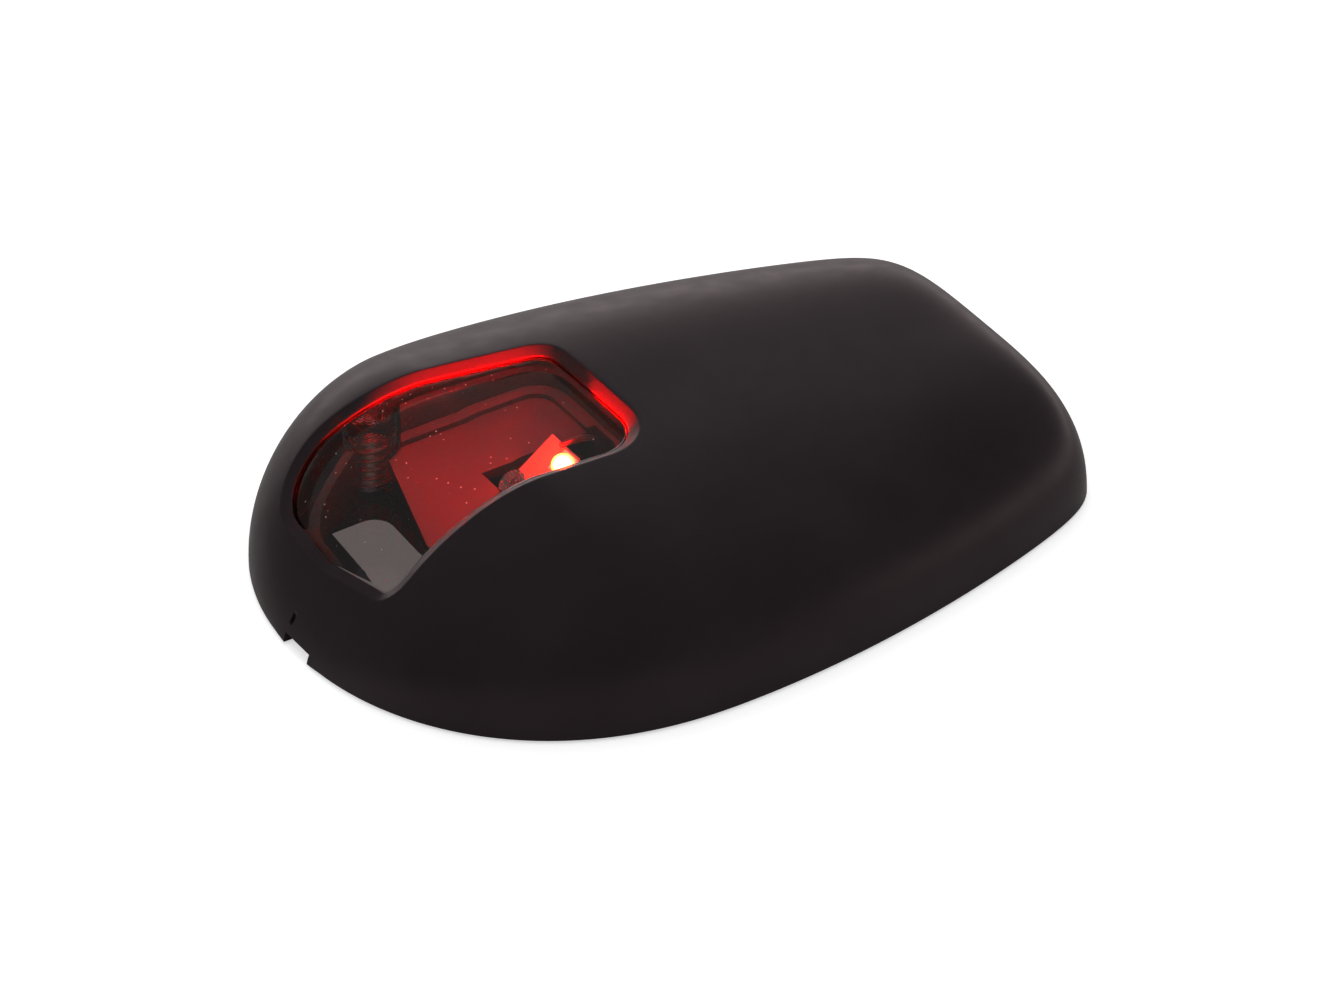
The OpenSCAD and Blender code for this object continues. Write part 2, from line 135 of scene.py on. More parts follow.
class Palette:
    """Node tree of one material, whose textures are laid out in millimetres."""

    def __init__(self, tree: bpy.types.NodeTree) -> None:
        """Starts on an empty tree.

        Args:
            tree: empty node tree of the material.
        """
        self.tree = tree
        place = add_node(tree, "TexCoord").outputs["Object"]
        self.where = add_node(tree, "VectorMath", {0: place, 1: (1 / MM,) * 3}, operation="MULTIPLY")

    def add(self, kind: str, inputs: Inputs | None = None, **settings: object) -> Node:
        """Adds a node to this tree, and gives a texture its place in millimetres."""
        start = {"Vector": self.where} if kind.startswith("Tex") else {}
        return add_node(self.tree, kind, {**start, **(inputs or {})}, **settings)


# ---------------------------------------------------------------- finishes


class Finish:
    """A surface finish, made once as a Blender material."""

    name: str = ""

    def paint(self, mix: Palette) -> Inputs:
        """Lays out the patterns and returns the inputs of the surface shader."""
        raise NotImplementedError

    def material(self) -> bpy.types.Material:
        """Returns this finish's material, making it on first use.

        Returns:
            The material, shared by every piece of this finish.
        """
        made = bpy.data.materials.get(self.name)
        if made is None:
            made = bpy.data.materials.new(self.name)
            mix = Palette(empty_tree(made))
            mix.add("OutputMaterial", {"Surface": mix.add("BsdfPrincipled", self.paint(mix))})
        return made


@dataclass(frozen=True)
class MouldedSatinPlastic(Finish):
    """ASA moulded in a spark-eroded tool: satin, with a fine even grain and faint flow shading."""

    name: str = "asa_spark_eroded_black"
    colour: str = "#221d20"
    worn: str = "#272225"
    # painted reflection: every reflection is tinted pink, standing in for the red glow of the lit light on the
    # shell
    painted_red_reflection_tint: Triple = (1.0, 0.8, 0.82)
    roughness: float = 0.35
    swing: float = 0.035
    specular: float = 0.2
    flow_mm: float = 14.0
    flow: Span = (0.35, 0.7)
    cloud_mm: float = 2.4
    grain_mm: float = 0.16  # real grain is about 0.08 mm, drawn twice as coarse so that it shows
    depth_mm: float = 0.004

    def paint(self, mix: Palette) -> Inputs:
        """Lays flow shading in the colour, grain in the relief and clouds in the gloss.

        Args:
            mix: palette on the material's empty tree.

        Returns:
            The inputs of the surface shader.
        """
        flow = mix.add("TexNoise", {"Scale": 1 / self.flow_mm, "Detail": 3.0})
        flow = mix.add("MapRange", {0: flow, 1: self.flow[0], 2: self.flow[1]})
        colours = {6: linear(self.colour), 7: linear(self.worn)}
        cloud = mix.add("TexNoise", {"Scale": 1 / self.cloud_mm, "Detail": 4.0})
        gloss = {3: self.roughness - self.swing, 4: self.roughness + self.swing}
        grain = mix.add("TexNoise", {"Scale": 1 / self.grain_mm, "Detail": 3.0, "Roughness": 0.6})
        return {
            "Base Color": mix.add("Mix", {0: flow, **colours}, data_type="RGBA").outputs[2],
            "Roughness": mix.add("MapRange", {0: cloud, **NOISE, **gloss}),
            "Specular IOR Level": self.specular,
            # painted reflection: pink tint on the reflections, for the red glow of the lit light
            "Specular Tint": (*self.painted_red_reflection_tint, 1.0),
            "Normal": mix.add("Bump", {"Height": grain, "Distance": self.depth_mm * MM}),
        }


@dataclass(frozen=True)
class GlossMouldedPlastic(Finish):
    """Polycarbonate moulded in a tool with a polished floor: near mirror gloss there, eroded walls; the floor is
    painted pale as if lit, the walls near black as painted shade.
    """

    name: str = "polycarbonate_gloss_black"
    # painted light and shade: colour is the floor, painted pale as if lit; walls are near black, painted shade
    colour: str = "#454040"
    walls: str = "#030303"
    dust: str = "#6d6664"
    roughness: float = 0.06
    haze: float = 0.08
    haze_mm: float = 5.0
    haze_range: Span = (0.3, 0.75)
    dust_roughness: float = 0.8
    walls_roughness: float = 0.95
    specular: float = 0.12
    level: Span = (0.6, 0.8)  # heights of the normal between which wall turns into floor
    dust_gap_mm: float = 1.9
    dust_edge: Span = (0.05, 0.03)  # distances from a grain's middle, in gaps, over which it begins
    ripple_mm: float = 3.5
    depth_mm: float = 0.004

    def paint(self, mix: Palette) -> Inputs:
        """Lays dust grains over a polished floor, which is painted pale as if lit, and paints the walls near black
        as painted shade.

        Args:
            mix: palette on the material's empty tree.

        Returns:
            The inputs of the surface shader.
        """
        up = mix.add("SeparateXYZ", {0: mix.add("NewGeometry").outputs["True Normal"]}).outputs[2]
        flat = mix.add("MapRange", {0: up, 1: self.level[0], 2: self.level[1]})
        grains = mix.add("TexVoronoi", {"Scale": 1 / self.dust_gap_mm}, feature="F1")
        speck = mix.add("MapRange", {0: grains, 1: self.dust_edge[0], 2: self.dust_edge[1]})
        colours = {6: linear(self.colour), 7: linear(self.dust)}
        floor = mix.add("Mix", {0: speck, **colours}, data_type="RGBA").outputs[2]
        haze = mix.add("TexNoise", {"Scale": 1 / self.haze_mm, "Detail": 4.0})
        gloss = {3: self.roughness, 4: self.roughness + self.haze}
        gloss = mix.add("MapRange", {0: haze, 1: self.haze_range[0], 2: self.haze_range[1], **gloss})
        gloss = mix.add("Mix", {0: speck, 2: gloss, 3: self.dust_roughness})
        ripple = mix.add("TexNoise", {"Scale": 1 / self.ripple_mm, "Detail": 2.0})
        return {
            # painted light and shade: pale floor where the face looks up, near-black walls where it stands up
            "Base Color": mix.add("Mix", {0: flat, 6: linear(self.walls), 7: floor}, data_type="RGBA").outputs[2],
            "Roughness": mix.add("Mix", {0: flat, 2: self.walls_roughness, 3: gloss}),
            "Specular IOR Level": self.specular,
            "Normal": mix.add("Bump", {"Height": ripple, "Distance": self.depth_mm * MM}),
        }


@dataclass(frozen=True)
class PolishedClear(Finish):
    """Clear polycarbonate from a mirror-polished tool: sharp reflections, a few dust grains on it."""

    name: str = "polycarbonate_clear"
    tint: str = "#fbfcfd"
    ior: float = 1.585
    roughness: float = 0.02
    dust: str = "#8f8a88"
    dust_roughness: float = 0.7
    dust_gap_mm: float = 1.3
    dust_edge: Span = (0.075, 0.05)  # distances from a grain's middle, in gaps, over which it begins
    dusty_mm: float = 4.0
    dusty: Span = (0.52, 0.56)
    ripple_mm: float = 9.0
    depth_mm: float = 0.003

    def paint(self, mix: Palette) -> Inputs:
        """Lays patches of dust grains that catch the light over a clear body.

        Args:
            mix: palette on the material's empty tree.

        Returns:
            The inputs of the surface shader.
        """
        patches = mix.add("TexNoise", {"Scale": 1 / self.dusty_mm, "Detail": 1.0})
        dusty = mix.add("MapRange", {0: patches, 1: self.dusty[0], 2: self.dusty[1]})
        grains = mix.add("TexVoronoi", {"Scale": 1 / self.dust_gap_mm}, feature="F1")
        near = mix.add("MapRange", {0: grains, 1: self.dust_edge[0], 2: self.dust_edge[1]})
        speck = mix.add("Math", {0: near, 1: dusty}, operation="MULTIPLY")
        colours = {6: linear(self.tint), 7: linear(self.dust)}
        ripple = mix.add("TexNoise", {"Scale": 1 / self.ripple_mm, "Detail": 1.0})
        return {
            "Base Color": mix.add("Mix", {0: speck, **colours}, data_type="RGBA").outputs[2],
            "Transmission Weight": mix.add("MapRange", {0: speck, 3: 1.0, 4: 0.0}),
            "Roughness": mix.add("MapRange", {0: speck, 3: self.roughness, 4: self.dust_roughness}),
            "IOR": self.ior,
            "Normal": mix.add("Bump", {"Height": ripple, "Distance": self.depth_mm * MM}),
        }


@dataclass(frozen=True)
class TurnedSteel(Finish):
    """Stainless steel, rolled and turned: bright metal with fine tool lines round it."""

    name: str = "stainless_turned"
    colour: str = "#c9c6be"
    second: str = "#aaa69d"
    cloud_mm: float = 0.8
    roughness: Span = (0.19, 0.32)
    line_mm: float = 0.6  # real tool lines are about 0.1 mm apart, drawn coarser so that they show
    wander: float = 1.5
    depth_mm: float = 0.004

    def paint(self, mix: Palette) -> Inputs:
        """Lays tool lines in the gloss and the relief.

        Args:
            mix: palette on the material's empty tree.

        Returns:
            The inputs of the surface shader.
        """
        cloud = mix.add("TexNoise", {"Scale": 1 / self.cloud_mm, "Detail": 3.0})
        colours = {6: linear(self.colour), 7: linear(self.second)}
        wave = {"Scale": 1 / self.line_mm, "Distortion": self.wander, "Detail": 2.0}
        lines = mix.add("TexWave", wave, bands_direction="Z").outputs["Fac"]
        return {
            "Base Color": mix.add("Mix", {0: cloud, **colours}, data_type="RGBA").outputs[2],
            "Metallic": 1.0,
            "Roughness": mix.add("MapRange", {0: lines, 3: self.roughness[0], 4: self.roughness[1]}),
            "Normal": mix.add("Bump", {"Height": lines, "Distance": self.depth_mm * MM}),
        }


@dataclass(frozen=True)
class Metal(Finish):
    """Plain metal with a directionless satin surface: pressed aluminium, tinned copper."""

    name: str = "aluminium_pressed_satin"
    colour: str = "#c9cacc"
    second: str = "#b3b5b8"
    roughness: float = 0.34
    swing: Span = (0.06, 0.1)
    grain_mm: float = 0.35  # real grain is below 0.05 mm, drawn coarser so that it shows
    clouds: float = 4.0  # size of the clouds, in grains
    depth_mm: float = 0.006

    def paint(self, mix: Palette) -> Inputs:
        """Lays clouds in the colour and the gloss, and a fine relief.

        Args:
            mix: palette on the material's empty tree.

        Returns:
            The inputs of the surface shader.
        """
        cloud = mix.add("TexNoise", {"Scale": 1 / (self.grain_mm * self.clouds), "Detail": 4.0})
        colours = {6: linear(self.colour), 7: linear(self.second)}
        gloss = {3: self.roughness - self.swing[0], 4: self.roughness + self.swing[1]}
        grain = mix.add("TexNoise", {"Scale": 1 / self.grain_mm, "Detail": 2.0})
        return {
            "Base Color": mix.add("Mix", {0: cloud, **colours}, data_type="RGBA").outputs[2],
            "Metallic": 1.0,
            "Roughness": mix.add("MapRange", {0: cloud, **NOISE, **gloss}),
            "Normal": mix.add("Bump", {"Height": grain, "Distance": self.depth_mm * MM}),
        }


@dataclass(frozen=True)
class Grained(Finish):
    """Matt or silky non-metal with a grain: rubber, ferrite, ceramic, epoxy, silicone, white board."""

    name: str = "rubber_moulded"
    colour: str = "#262626"
    second: str = "#2e2d2c"
    roughness: float = 0.6
    grain_mm: float = 0.3  # real grain is below 0.05 mm, drawn coarser so that it shows
    depth_mm: float = 0.01
    specular: float = 0.4
    swing: float = 0.06
    clouds: float = 7.0  # size of the clouds, in grains

    def paint(self, mix: Palette) -> Inputs:
        """Lays two close colours in clouds, and the grain in the relief and the gloss.

        Args:
            mix: palette on the material's empty tree.

        Returns:
            The inputs of the surface shader.
        """
        cloud = mix.add("TexNoise", {"Scale": 1 / (self.grain_mm * self.clouds), "Detail": 4.0})
        cloud = mix.add("MapRange", {0: cloud, **NOISE})
        colours = {6: linear(self.colour), 7: linear(self.second)}
        grain = mix.add("TexNoise", {"Scale": 1 / self.grain_mm, "Detail": 3.0, "Roughness": 0.6})
        gloss = {3: self.roughness - self.swing, 4: self.roughness + self.swing}
        return {
            "Base Color": mix.add("Mix", {0: cloud, **colours}, data_type="RGBA").outputs[2],
            "Roughness": mix.add("MapRange", {0: grain, **NOISE, **gloss}),
            "Specular IOR Level": self.specular,
            "Normal": mix.add("Bump", {"Height": grain, "Distance": self.depth_mm * MM}),
        }


@dataclass(frozen=True)
class ClosedCellFoam(Finish):
    """Neoprene foam cut from sheet: matt, with open pores about half a millimetre across."""

    name: str = "neoprene_foam_sheet"
    pit: str = "#0f0f0f"
    skin: str = "#2c2b2a"
    roughness: float = 0.9
    specular: float = 0.25
    pore_mm: float = 0.5
    pore_edge: Span = (0.1, 0.45)
    depth_mm: float = 0.06

    def paint(self, mix: Palette) -> Inputs:
        """Lays the pores in the colour and the relief.

        Args:
            mix: palette on the material's empty tree.

        Returns:
            The inputs of the surface shader.
        """
        pores = mix.add("TexVoronoi", {"Scale": 1 / self.pore_mm}, feature="F1")
        pores = mix.add("MapRange", {0: pores, 1: self.pore_edge[0], 2: self.pore_edge[1]})
        colours = {6: linear(self.pit), 7: linear(self.skin)}
        return {
            "Base Color": mix.add("Mix", {0: pores, **colours}, data_type="RGBA").outputs[2],
            "Roughness": self.roughness,
            "Specular IOR Level": self.specular,
            "Normal": mix.add("Bump", {"Height": pores, "Distance": self.depth_mm * MM}),
        }


@dataclass(frozen=True)
class PrintedBoard(Finish):
    """Glass-epoxy board with green solder mask over copper tracks: glossy, tracks stand a hair proud."""

    name: str = "fr4_green_mask"
    mask: str = "#0f5130"
    over_copper: str = "#1d7445"
    edge: str = "#8c8a55"
    roughness: Span = (0.24, 0.36)
    coat: float = 0.3
    coat_roughness: float = 0.15
    cloud_mm: float = 0.7
    track_mm: float = 1.1
    track_run: float = 3.3
    track_gap: float = 0.09
    level: Span = (0.5, 0.6)  # heights of the normal between which the cut edge turns into a face
    depth_mm: float = 0.02

    def paint(self, mix: Palette) -> Inputs:
        """Lays the tracks as cells of brick work, raised and paler, and a bare cut edge.

        Args:
            mix: palette on the material's empty tree.

        Returns:
            The inputs of the surface shader.
        """
        rows = {"Scale": 1.0, "Mortar Size": self.track_gap, "Row Height": self.track_mm}
        tracks = mix.add("TexBrick", {**rows, "Brick Width": self.track_mm * self.track_run}).outputs["Fac"]
        colours = {6: linear(self.over_copper), 7: linear(self.mask)}
        face = mix.add("Mix", {0: tracks, **colours}, data_type="RGBA").outputs[2]
        up = mix.add("SeparateXYZ", {0: mix.add("NewGeometry").outputs["Normal"]}).outputs[2]
        flat = mix.add("Math", {0: up}, operation="ABSOLUTE")
        flat = mix.add("MapRange", {0: flat, 1: self.level[0], 2: self.level[1]})
        cloud = mix.add("TexNoise", {"Scale": 1 / self.cloud_mm, "Detail": 3.0})
        return {
            "Base Color": mix.add("Mix", {0: flat, 6: linear(self.edge), 7: face}, data_type="RGBA").outputs[2],
            "Roughness": mix.add("MapRange", {0: cloud, **NOISE, 3: self.roughness[0], 4: self.roughness[1]}),
            "Coat Weight": self.coat,
            "Coat Roughness": self.coat_roughness,
            "Normal": mix.add("Bump", {"Height": tracks, "Distance": self.depth_mm * MM}),
        }


@dataclass(frozen=True)
class LitEmitter(Finish):
    """Semiconductor die under current: far brighter than its surroundings, deep red."""

    name: str = "red_emitter_lit"
    colour: str = "#ff5030"
    roughness: float = 0.4
    light: Triple = (1.0, 0.00002, 0.00001)
    strength: float = 1400000.0
    grazing: Span = (0.62, 0.74)  # facing values between which the light sets in
    level: Span = (0.5, 0.9)  # heights of the normal between which the light sets in

    def paint(self, mix: Palette) -> Inputs:
        """Makes the top face throw its light sideways and leaves the other faces dark.

        Args:
            mix: palette on the material's empty tree.

        Returns:
            The inputs of the surface shader.
        """
        facing = mix.add("LayerWeight", {"Blend": 0.5}).outputs["Facing"]
        side = mix.add("MapRange", {0: facing, 1: self.grazing[0], 2: self.grazing[1]})
        up = mix.add("SeparateXYZ", {0: mix.add("NewGeometry").outputs["True Normal"]}).outputs[2]
        top = mix.add("MapRange", {0: up, 1: self.level[0], 2: self.level[1]})
        ring = mix.add("Math", {0: side, 1: top}, operation="MULTIPLY")
        lights = {6: (0.0, 0.0, 0.0, 1.0), 7: (*self.light, 1.0)}
        return {
            "Base Color": linear(self.colour),
            "Roughness": self.roughness,
            "Emission Color": mix.add("Mix", {0: ring, **lights}, data_type="RGBA").outputs[2],
            "Emission Strength": self.strength,
        }


@dataclass(frozen=True)
class LitSilicone(Finish):
    """Clear silicone cast over the die, with the die's red light showing through and a painted glow: yellow-white
    where one looks straight in, red at the rim, for the blown-out middle of the lit die.
    """

    name: str = "silicone_cast_lit"
    colour: str = "#ffb9a0"
    roughness: float = 0.06
    clear: float = 0.6
    ior: float = 1.41
    strength: float = 36.0
    red: float = 5.0
    # painted glow: the colours seen on the dome, from yellow-white where one looks straight in to red at the rim
    glow: tuple[tuple[float, Triple], ...] = (
        (0.1, (1.0, 0.25, 0.1)),
        (0.5, (1.0, 0.1, 0.007)),
        (0.95, (1.0, 0.005, 0.001)),
    )

    def paint(self, mix: Palette) -> Inputs:
        """Paints a glow from yellow in the middle to red at the rim, and throws red light on what is around.

        Args:
            mix: palette on the material's empty tree.

        Returns:
            The inputs of the surface shader.
        """
        ramp = mix.add("ValToRGB", {"Fac": mix.add("LayerWeight", {"Blend": 0.5}).outputs["Facing"]})
        stops = ramp.color_ramp.elements
        stops.new(0.5)
        for stop, (at, light) in zip(stops, self.glow):
            stop.position, stop.color = at, (*light, 1.0)
        path = mix.add("LightPath").outputs
        seen = mix.add("Math", {0: path["Is Glossy Ray"], 1: path["Is Transmission Ray"]}, operation="MAXIMUM")
        seen = mix.add("Math", {0: seen, 1: path["Is Camera Ray"]}, operation="MAXIMUM")
        cast = mix.add("CombineXYZ", {"X": mix.add("MapRange", {0: seen, 3: self.red, 4: 0.0})})
        return {
            "Base Color": linear(self.colour),
            "Roughness": self.roughness,
            "Transmission Weight": self.clear,
            "IOR": self.ior,
            "Emission Color": mix.add("VectorMath", {0: ramp, 1: cast}, operation="ADD"),
            "Emission Strength": self.strength,
        }


ASA_COVER = MouldedSatinPlastic()
# glass-filled polyamide, moulded: darker and duller than the cover, with a coarser grain
PA_PLATE = MouldedSatinPlastic(
    "polyamide_moulded_black", "#1b1b1d", "#202022", roughness=0.52, grain_mm=0.3, depth_mm=0.002
)
PC_TRAY = GlossMouldedPlastic()
PC_CLEAR = PolishedClear()
STEEL = TurnedSteel()
ALUMINIUM = Metal()
# drawn can: smoother and brighter than the pressed bracket
CAN = Metal("aluminium_drawn_can", "#d2d3d6", "#c3c5c9", roughness=0.22, grain_mm=0.2)
# tin that set from a melt: the brightest metal here, with small soft lumps
SOLDER = Metal("solder_tinned", "#d6d6d2", "#bcbcb8", roughness=0.2, grain_mm=0.25)
# nitrile rubber, moulded: dull dark grey
NITRILE = Grained()
# silicone, moulded: pale grey with a soft shine
SILICONE_SEAL = Grained("silicone_moulded_grey", "#8c8f90", "#979a9b", roughness=0.5)
# silicone filled with ceramic powder: chalky blue grey
PAD = Grained("silicone_pad_filled", "#7d8b98", "#8a98a4", roughness=0.7, grain_mm=0.2)
# ferrite, pressed and sintered: dark, dry and slightly pitted
FERRITE = Grained("ferrite_sintered", "#3f3f42", "#4a494c", roughness=0.66, grain_mm=0.25, depth_mm=0.02)
# epoxy, transfer moulded: black with a fine silky grain
EPOXY = Grained("epoxy_moulded_black", "#1c1c1e", "#232325", roughness=0.42, grain_mm=0.12)
# alumina, fired: creamy white, smooth, with a low gloss
CERAMIC = Grained("alumina_fired", "#e9e6dc", "#dcd8cc", roughness=0.38, grain_mm=0.15, depth_mm=0.004)
# barium titanate, fired: tan, smooth
TITANATE = Grained("titanate_fired", "#a5815a", "#94714c", roughness=0.4, grain_mm=0.15, depth_mm=0.004)
# white solder mask, screen printed: even and slightly glossy, toned down as it stands in shade
WHITE_MASK = Grained("white_mask_board", "#8f8a82", "#878279", roughness=0.35, grain_mm=0.4, depth_mm=0.004)
# PTFE, sintered: waxy white with open pores
PTFE = Grained("ptfe_sintered_white", "#e4e4df", "#d8d8d2", roughness=0.62, grain_mm=0.2, depth_mm=0.012)
# painted shade: a matt black ring round the raised window, so that the lens's edge stays dark
SHADE_RING_BLACK = Grained("painted_shade_black", "#070707", "#0a0a0a", roughness=0.7, grain_mm=0.2, specular=0.1)
# silicone, extruded over the wire: soft sheen, red and black
RED_LEAD = Grained("silicone_lead_red", "#b5201a", "#a81b16", roughness=0.42, grain_mm=0.2, depth_mm=0.004)
BLACK_LEAD = Grained("silicone_lead_black", "#1b1b1b", "#222222", roughness=0.42, grain_mm=0.2, depth_mm=0.004)
FOAM = ClosedCellFoam()
BOARD = PrintedBoard()
DIE = LitEmitter()
DOME = LitSilicone()


# ---------------------------------------------------------------- mesh helpers


def inside_loop(points: np.ndarray, loop: np.ndarray) -> np.ndarray:
    """Tells which points lie inside a closed outline.

    Args:
        points: plan points, one a row.
        loop: corners of the outline, one a row.

    Returns:
        One boolean a point.
    """
    found = np.zeros(len(points), bool)
    for a, b in zip(loop, np.roll(loop, -1, axis=0)):
        if a[1] == b[1]:
            continue
        crosses = (a[1] > points[:, 1]) != (b[1] > points[:, 1])
        where = a[0] + (points[:, 1] - a[1]) * (b[0] - a[0]) / (b[1] - a[1])
        found ^= crosses & (points[:, 0] < where)
    return found


def loop_distance(points: np.ndarray, loop: np.ndarray) -> np.ndarray:
    """Distance of each plan point from a closed outline.

    Args:
        points: plan points, one a row.
        loop: corners of the outline, one a row.

    Returns:
        One distance a point.
    """
    best = np.full(len(points), np.inf)
    for a, b in zip(loop, np.roll(loop, -1, axis=0)):
        way = b - a
        share = np.clip((points - a) @ way / max(way @ way, SPECK**2), 0, 1)
        near = points - a - share[:, None] * way
        best = np.minimum(best, np.hypot(near[:, 0], near[:, 1]))
    return best


def arc_rows(start: np.ndarray, corner: np.ndarray, end: np.ndarray) -> Rows:
    """Five rows that round a corner, from start to end, both included."""
    return [(1 - t) ** 2 * start + 2 * t * (1 - t) * corner + t**2 * end for t in np.linspace(0, 1, 5)]


def towards(start: np.ndarray, end: np.ndarray, length: float) -> np.ndarray:
    """Points at a length from start, on the way to end."""
    way = end - start
    return start + way * (length / np.linalg.norm(way, axis=1))[:, None]


def flood(faces: list[list[int]], start: list[tuple[int, int]], walls: list[tuple[int, int]]) -> list[list[int]]:
    """Picks the faces that can be reached without crossing a wall.

    Args:
        faces: counterclockwise faces.
        start: directed edges whose own faces come first.
        walls: edges that aren't crossed.

    Returns:
        The faces reached.
    """
    owner = {(a, b): k for k, f in enumerate(faces) for a, b in zip(f, f[1:] + f[:1])}
    closed = {*walls, *((b, a) for a, b in walls)}
    waiting = [owner[edge] for edge in start if edge in owner]
    reached = set(waiting)
    while waiting:
        f = faces[waiting.pop()]
        for a, b in zip(f, f[1:] + f[:1]):
            beside = owner.get((b, a))
            if (a, b) not in closed and beside is not None and beside not in reached:
                reached.add(beside)
                waiting.append(beside)
    return [faces[k] for k in sorted(reached)]


class Skin:
    """Collects points, in millimetres, and faces, and makes them one piece."""

    def __init__(self) -> None:
        """Starts with no points."""
        self.points = np.zeros((0, 3))
        self.faces: list[list[int]] = []

    def add(self, points: np.ndarray) -> np.ndarray:
        """Adds points and returns their numbers, in the same arrangement.

        Args:
            points: points in rows of any arrangement.

        Returns:
            The numbers of the new points.
        """
        first = len(self.points)
        flat = np.asarray(points, float).reshape(-1, 3)
        self.points = np.vstack([self.points, flat])
        return np.arange(first, first + len(flat)).reshape(np.asarray(points).shape[:-1])

    def bridge(self, a: np.ndarray, b: np.ndarray) -> None:
        """Joins two closed loops of the same length with quads."""
        a2, b2 = np.roll(a, -1), np.roll(b, -1)
        self.faces += np.stack([a, a2, b2, b], axis=1).tolist()

    def strip(self, rows: Rows) -> None:
        """Joins loops one after another; a loop is point numbers or new points.

        Args:
            rows: loops of the same length, in the order in which they are joined.
        """
        numbers = [row if row.ndim == 1 else self.add(row) for row in rows]
        for a, b in zip(numbers, numbers[1:]):
            self.bridge(a, b)

    def fill(self, loops: Rows, height: Callable[[np.ndarray, np.ndarray], np.ndarray], step: float) -> None:
        """Fills the plan between an outer loop and holes with even triangles on a surface.

        Args:
            loops: point numbers of the outer loop, then of each hole.
            height: surface height over plan points.
            step: distance between the new points.
        """
        plans = [self.points[loop][:, :2] for loop in loops]
        low, high = plans[0].min(0), plans[0].max(0)
        rows = np.arange(low[1], high[1], step * math.sqrt(0.75))
        line = np.arange(low[0], high[0], step)
        grid = np.array([[x + (k % 2) * step / 2, y] for k, y in enumerate(rows) for x in line])
        keep = inside_loop(grid, plans[0])
        for hole in plans[1:]:
            keep &= ~inside_loop(grid, hole)
        for plan in plans:
            keep &= loop_distance(grid, plan) > 0.5 * step
        grid = grid[keep]
        fresh = self.add(np.c_[grid, height(grid[:, 0], grid[:, 1])])
        numbers = np.concatenate([*loops, fresh])
        flat = np.vstack([*plans, grid])
        edges, first = [], 0
        for loop in loops:
            count = len(loop)
            edges += [(first + k, first + (k + 1) % count) for k in range(count)]
            first += count
        _, _, faces, origin, _, _ = delaunay_2d_cdt([Vector(p) for p in flat], edges, [], 0, SPECK)
        made = [[origin[v][0] for v in f] for f in faces]
        ring = edges[: len(loops[0])]
        (x, y), (x2, y2) = plans[0].T, np.roll(plans[0], -1, axis=0).T
        if np.sum(x * y2 - y * x2) < 0:
            ring = [(b, a) for a, b in ring]
        self.faces += [[int(numbers[v]) for v in f] for f in flood(made, ring, edges)]

    def piece(self, name: str, sharp: float = CRISP) -> Object:
        """Makes the closed skin an object with outward faces and smooth shading.

        Args:
            name: name of the object.
            sharp: angle between faces, in degrees, above which an edge stays crisp.

        Returns:
            The new object, in metres.
        """
        mesh = bpy.data.meshes.new(name)
        mesh.from_pydata((self.points * MM).tolist(), [], self.faces)
        return finish_mesh(name, mesh, sharp)


def finish_mesh(name: str, mesh: bpy.types.Mesh, sharp: float) -> Object:
    """Cleans a mesh, turns its faces outwards and links it as an object.

    Args:
        name: name of the object.
        mesh: mesh in metres.
        sharp: angle, in degrees, above which an edge stays crisp.

    Returns:
        The new object.
    """
    work = bmesh.new()
    work.from_mesh(mesh)
    bmesh.ops.remove_doubles(work, verts=work.verts, dist=TINY)
    bmesh.ops.dissolve_degenerate(work, dist=TINY / 10, edges=work.edges)
    bmesh.ops.recalc_face_normals(work, faces=work.faces)
    if work.calc_volume(signed=True) < 0:
        bmesh.ops.reverse_faces(work, faces=work.faces)
    work.to_mesh(mesh)
    work.free()
    made = bpy.data.objects.new(name, mesh)
    bpy.context.scene.collection.objects.link(made)
    shade(made, sharp)
    return made


def shade(piece: Object, sharp: float) -> None:
    """Shades a piece smooth, with edges above the angle left crisp."""
    piece.data.shade_smooth()
    piece.data.set_sharp_from_angle(angle=math.radians(sharp))


def bake_modifiers(piece: Object, sharp: float) -> None:
    """Applies every modifier of a piece and shades it again.

    Args:
        piece: object whose mesh is replaced.
        sharp: angle, in degrees, above which an edge stays crisp.
    """
    graph = bpy.context.evaluated_depsgraph_get()
    graph.update()
    solid = bpy.data.meshes.new_from_object(piece.evaluated_get(graph))
    piece.modifiers.clear()
    piece.data = solid
    shade(piece, sharp)


def weld(piece: Object, reach_mm: float) -> None:
    """Joins points closer than reach_mm and drops the slivers that cutting leaves.

    Args:
        piece: object that is changed.
        reach_mm: longest gap that is closed, in millimetres.
    """
    work = bmesh.new()
    work.from_mesh(piece.data)
    bmesh.ops.remove_doubles(work, verts=work.verts, dist=reach_mm * MM)
    bmesh.ops.dissolve_degenerate(work, dist=reach_mm * MM / 2, edges=work.edges)
    work.to_mesh(piece.data)
    work.free()
    shade(piece, CRISP)


def combine(piece: Object, tools: Sequence[Object], how: str) -> None:
    """Cuts pieces out of, or joins them to, a piece, and deletes them.

    Args:
        piece: object that is changed.
        tools: closed objects.
        how: DIFFERENCE or UNION.
    """
    for tool in tools:
        step = piece.modifiers.new("solid", "BOOLEAN")
        step.operation, step.object, step.solver = how, tool, "EXACT"
    bake_modifiers(piece, CRISP)
    for tool in tools:
        bpy.data.objects.remove(tool)


def circle(angles: np.ndarray, r: float | np.ndarray, z: float) -> np.ndarray:
    """Points at these angles round the vertical axis."""
    return np.c_[r * np.cos(angles), r * np.sin(angles), np.full(len(angles), z)]


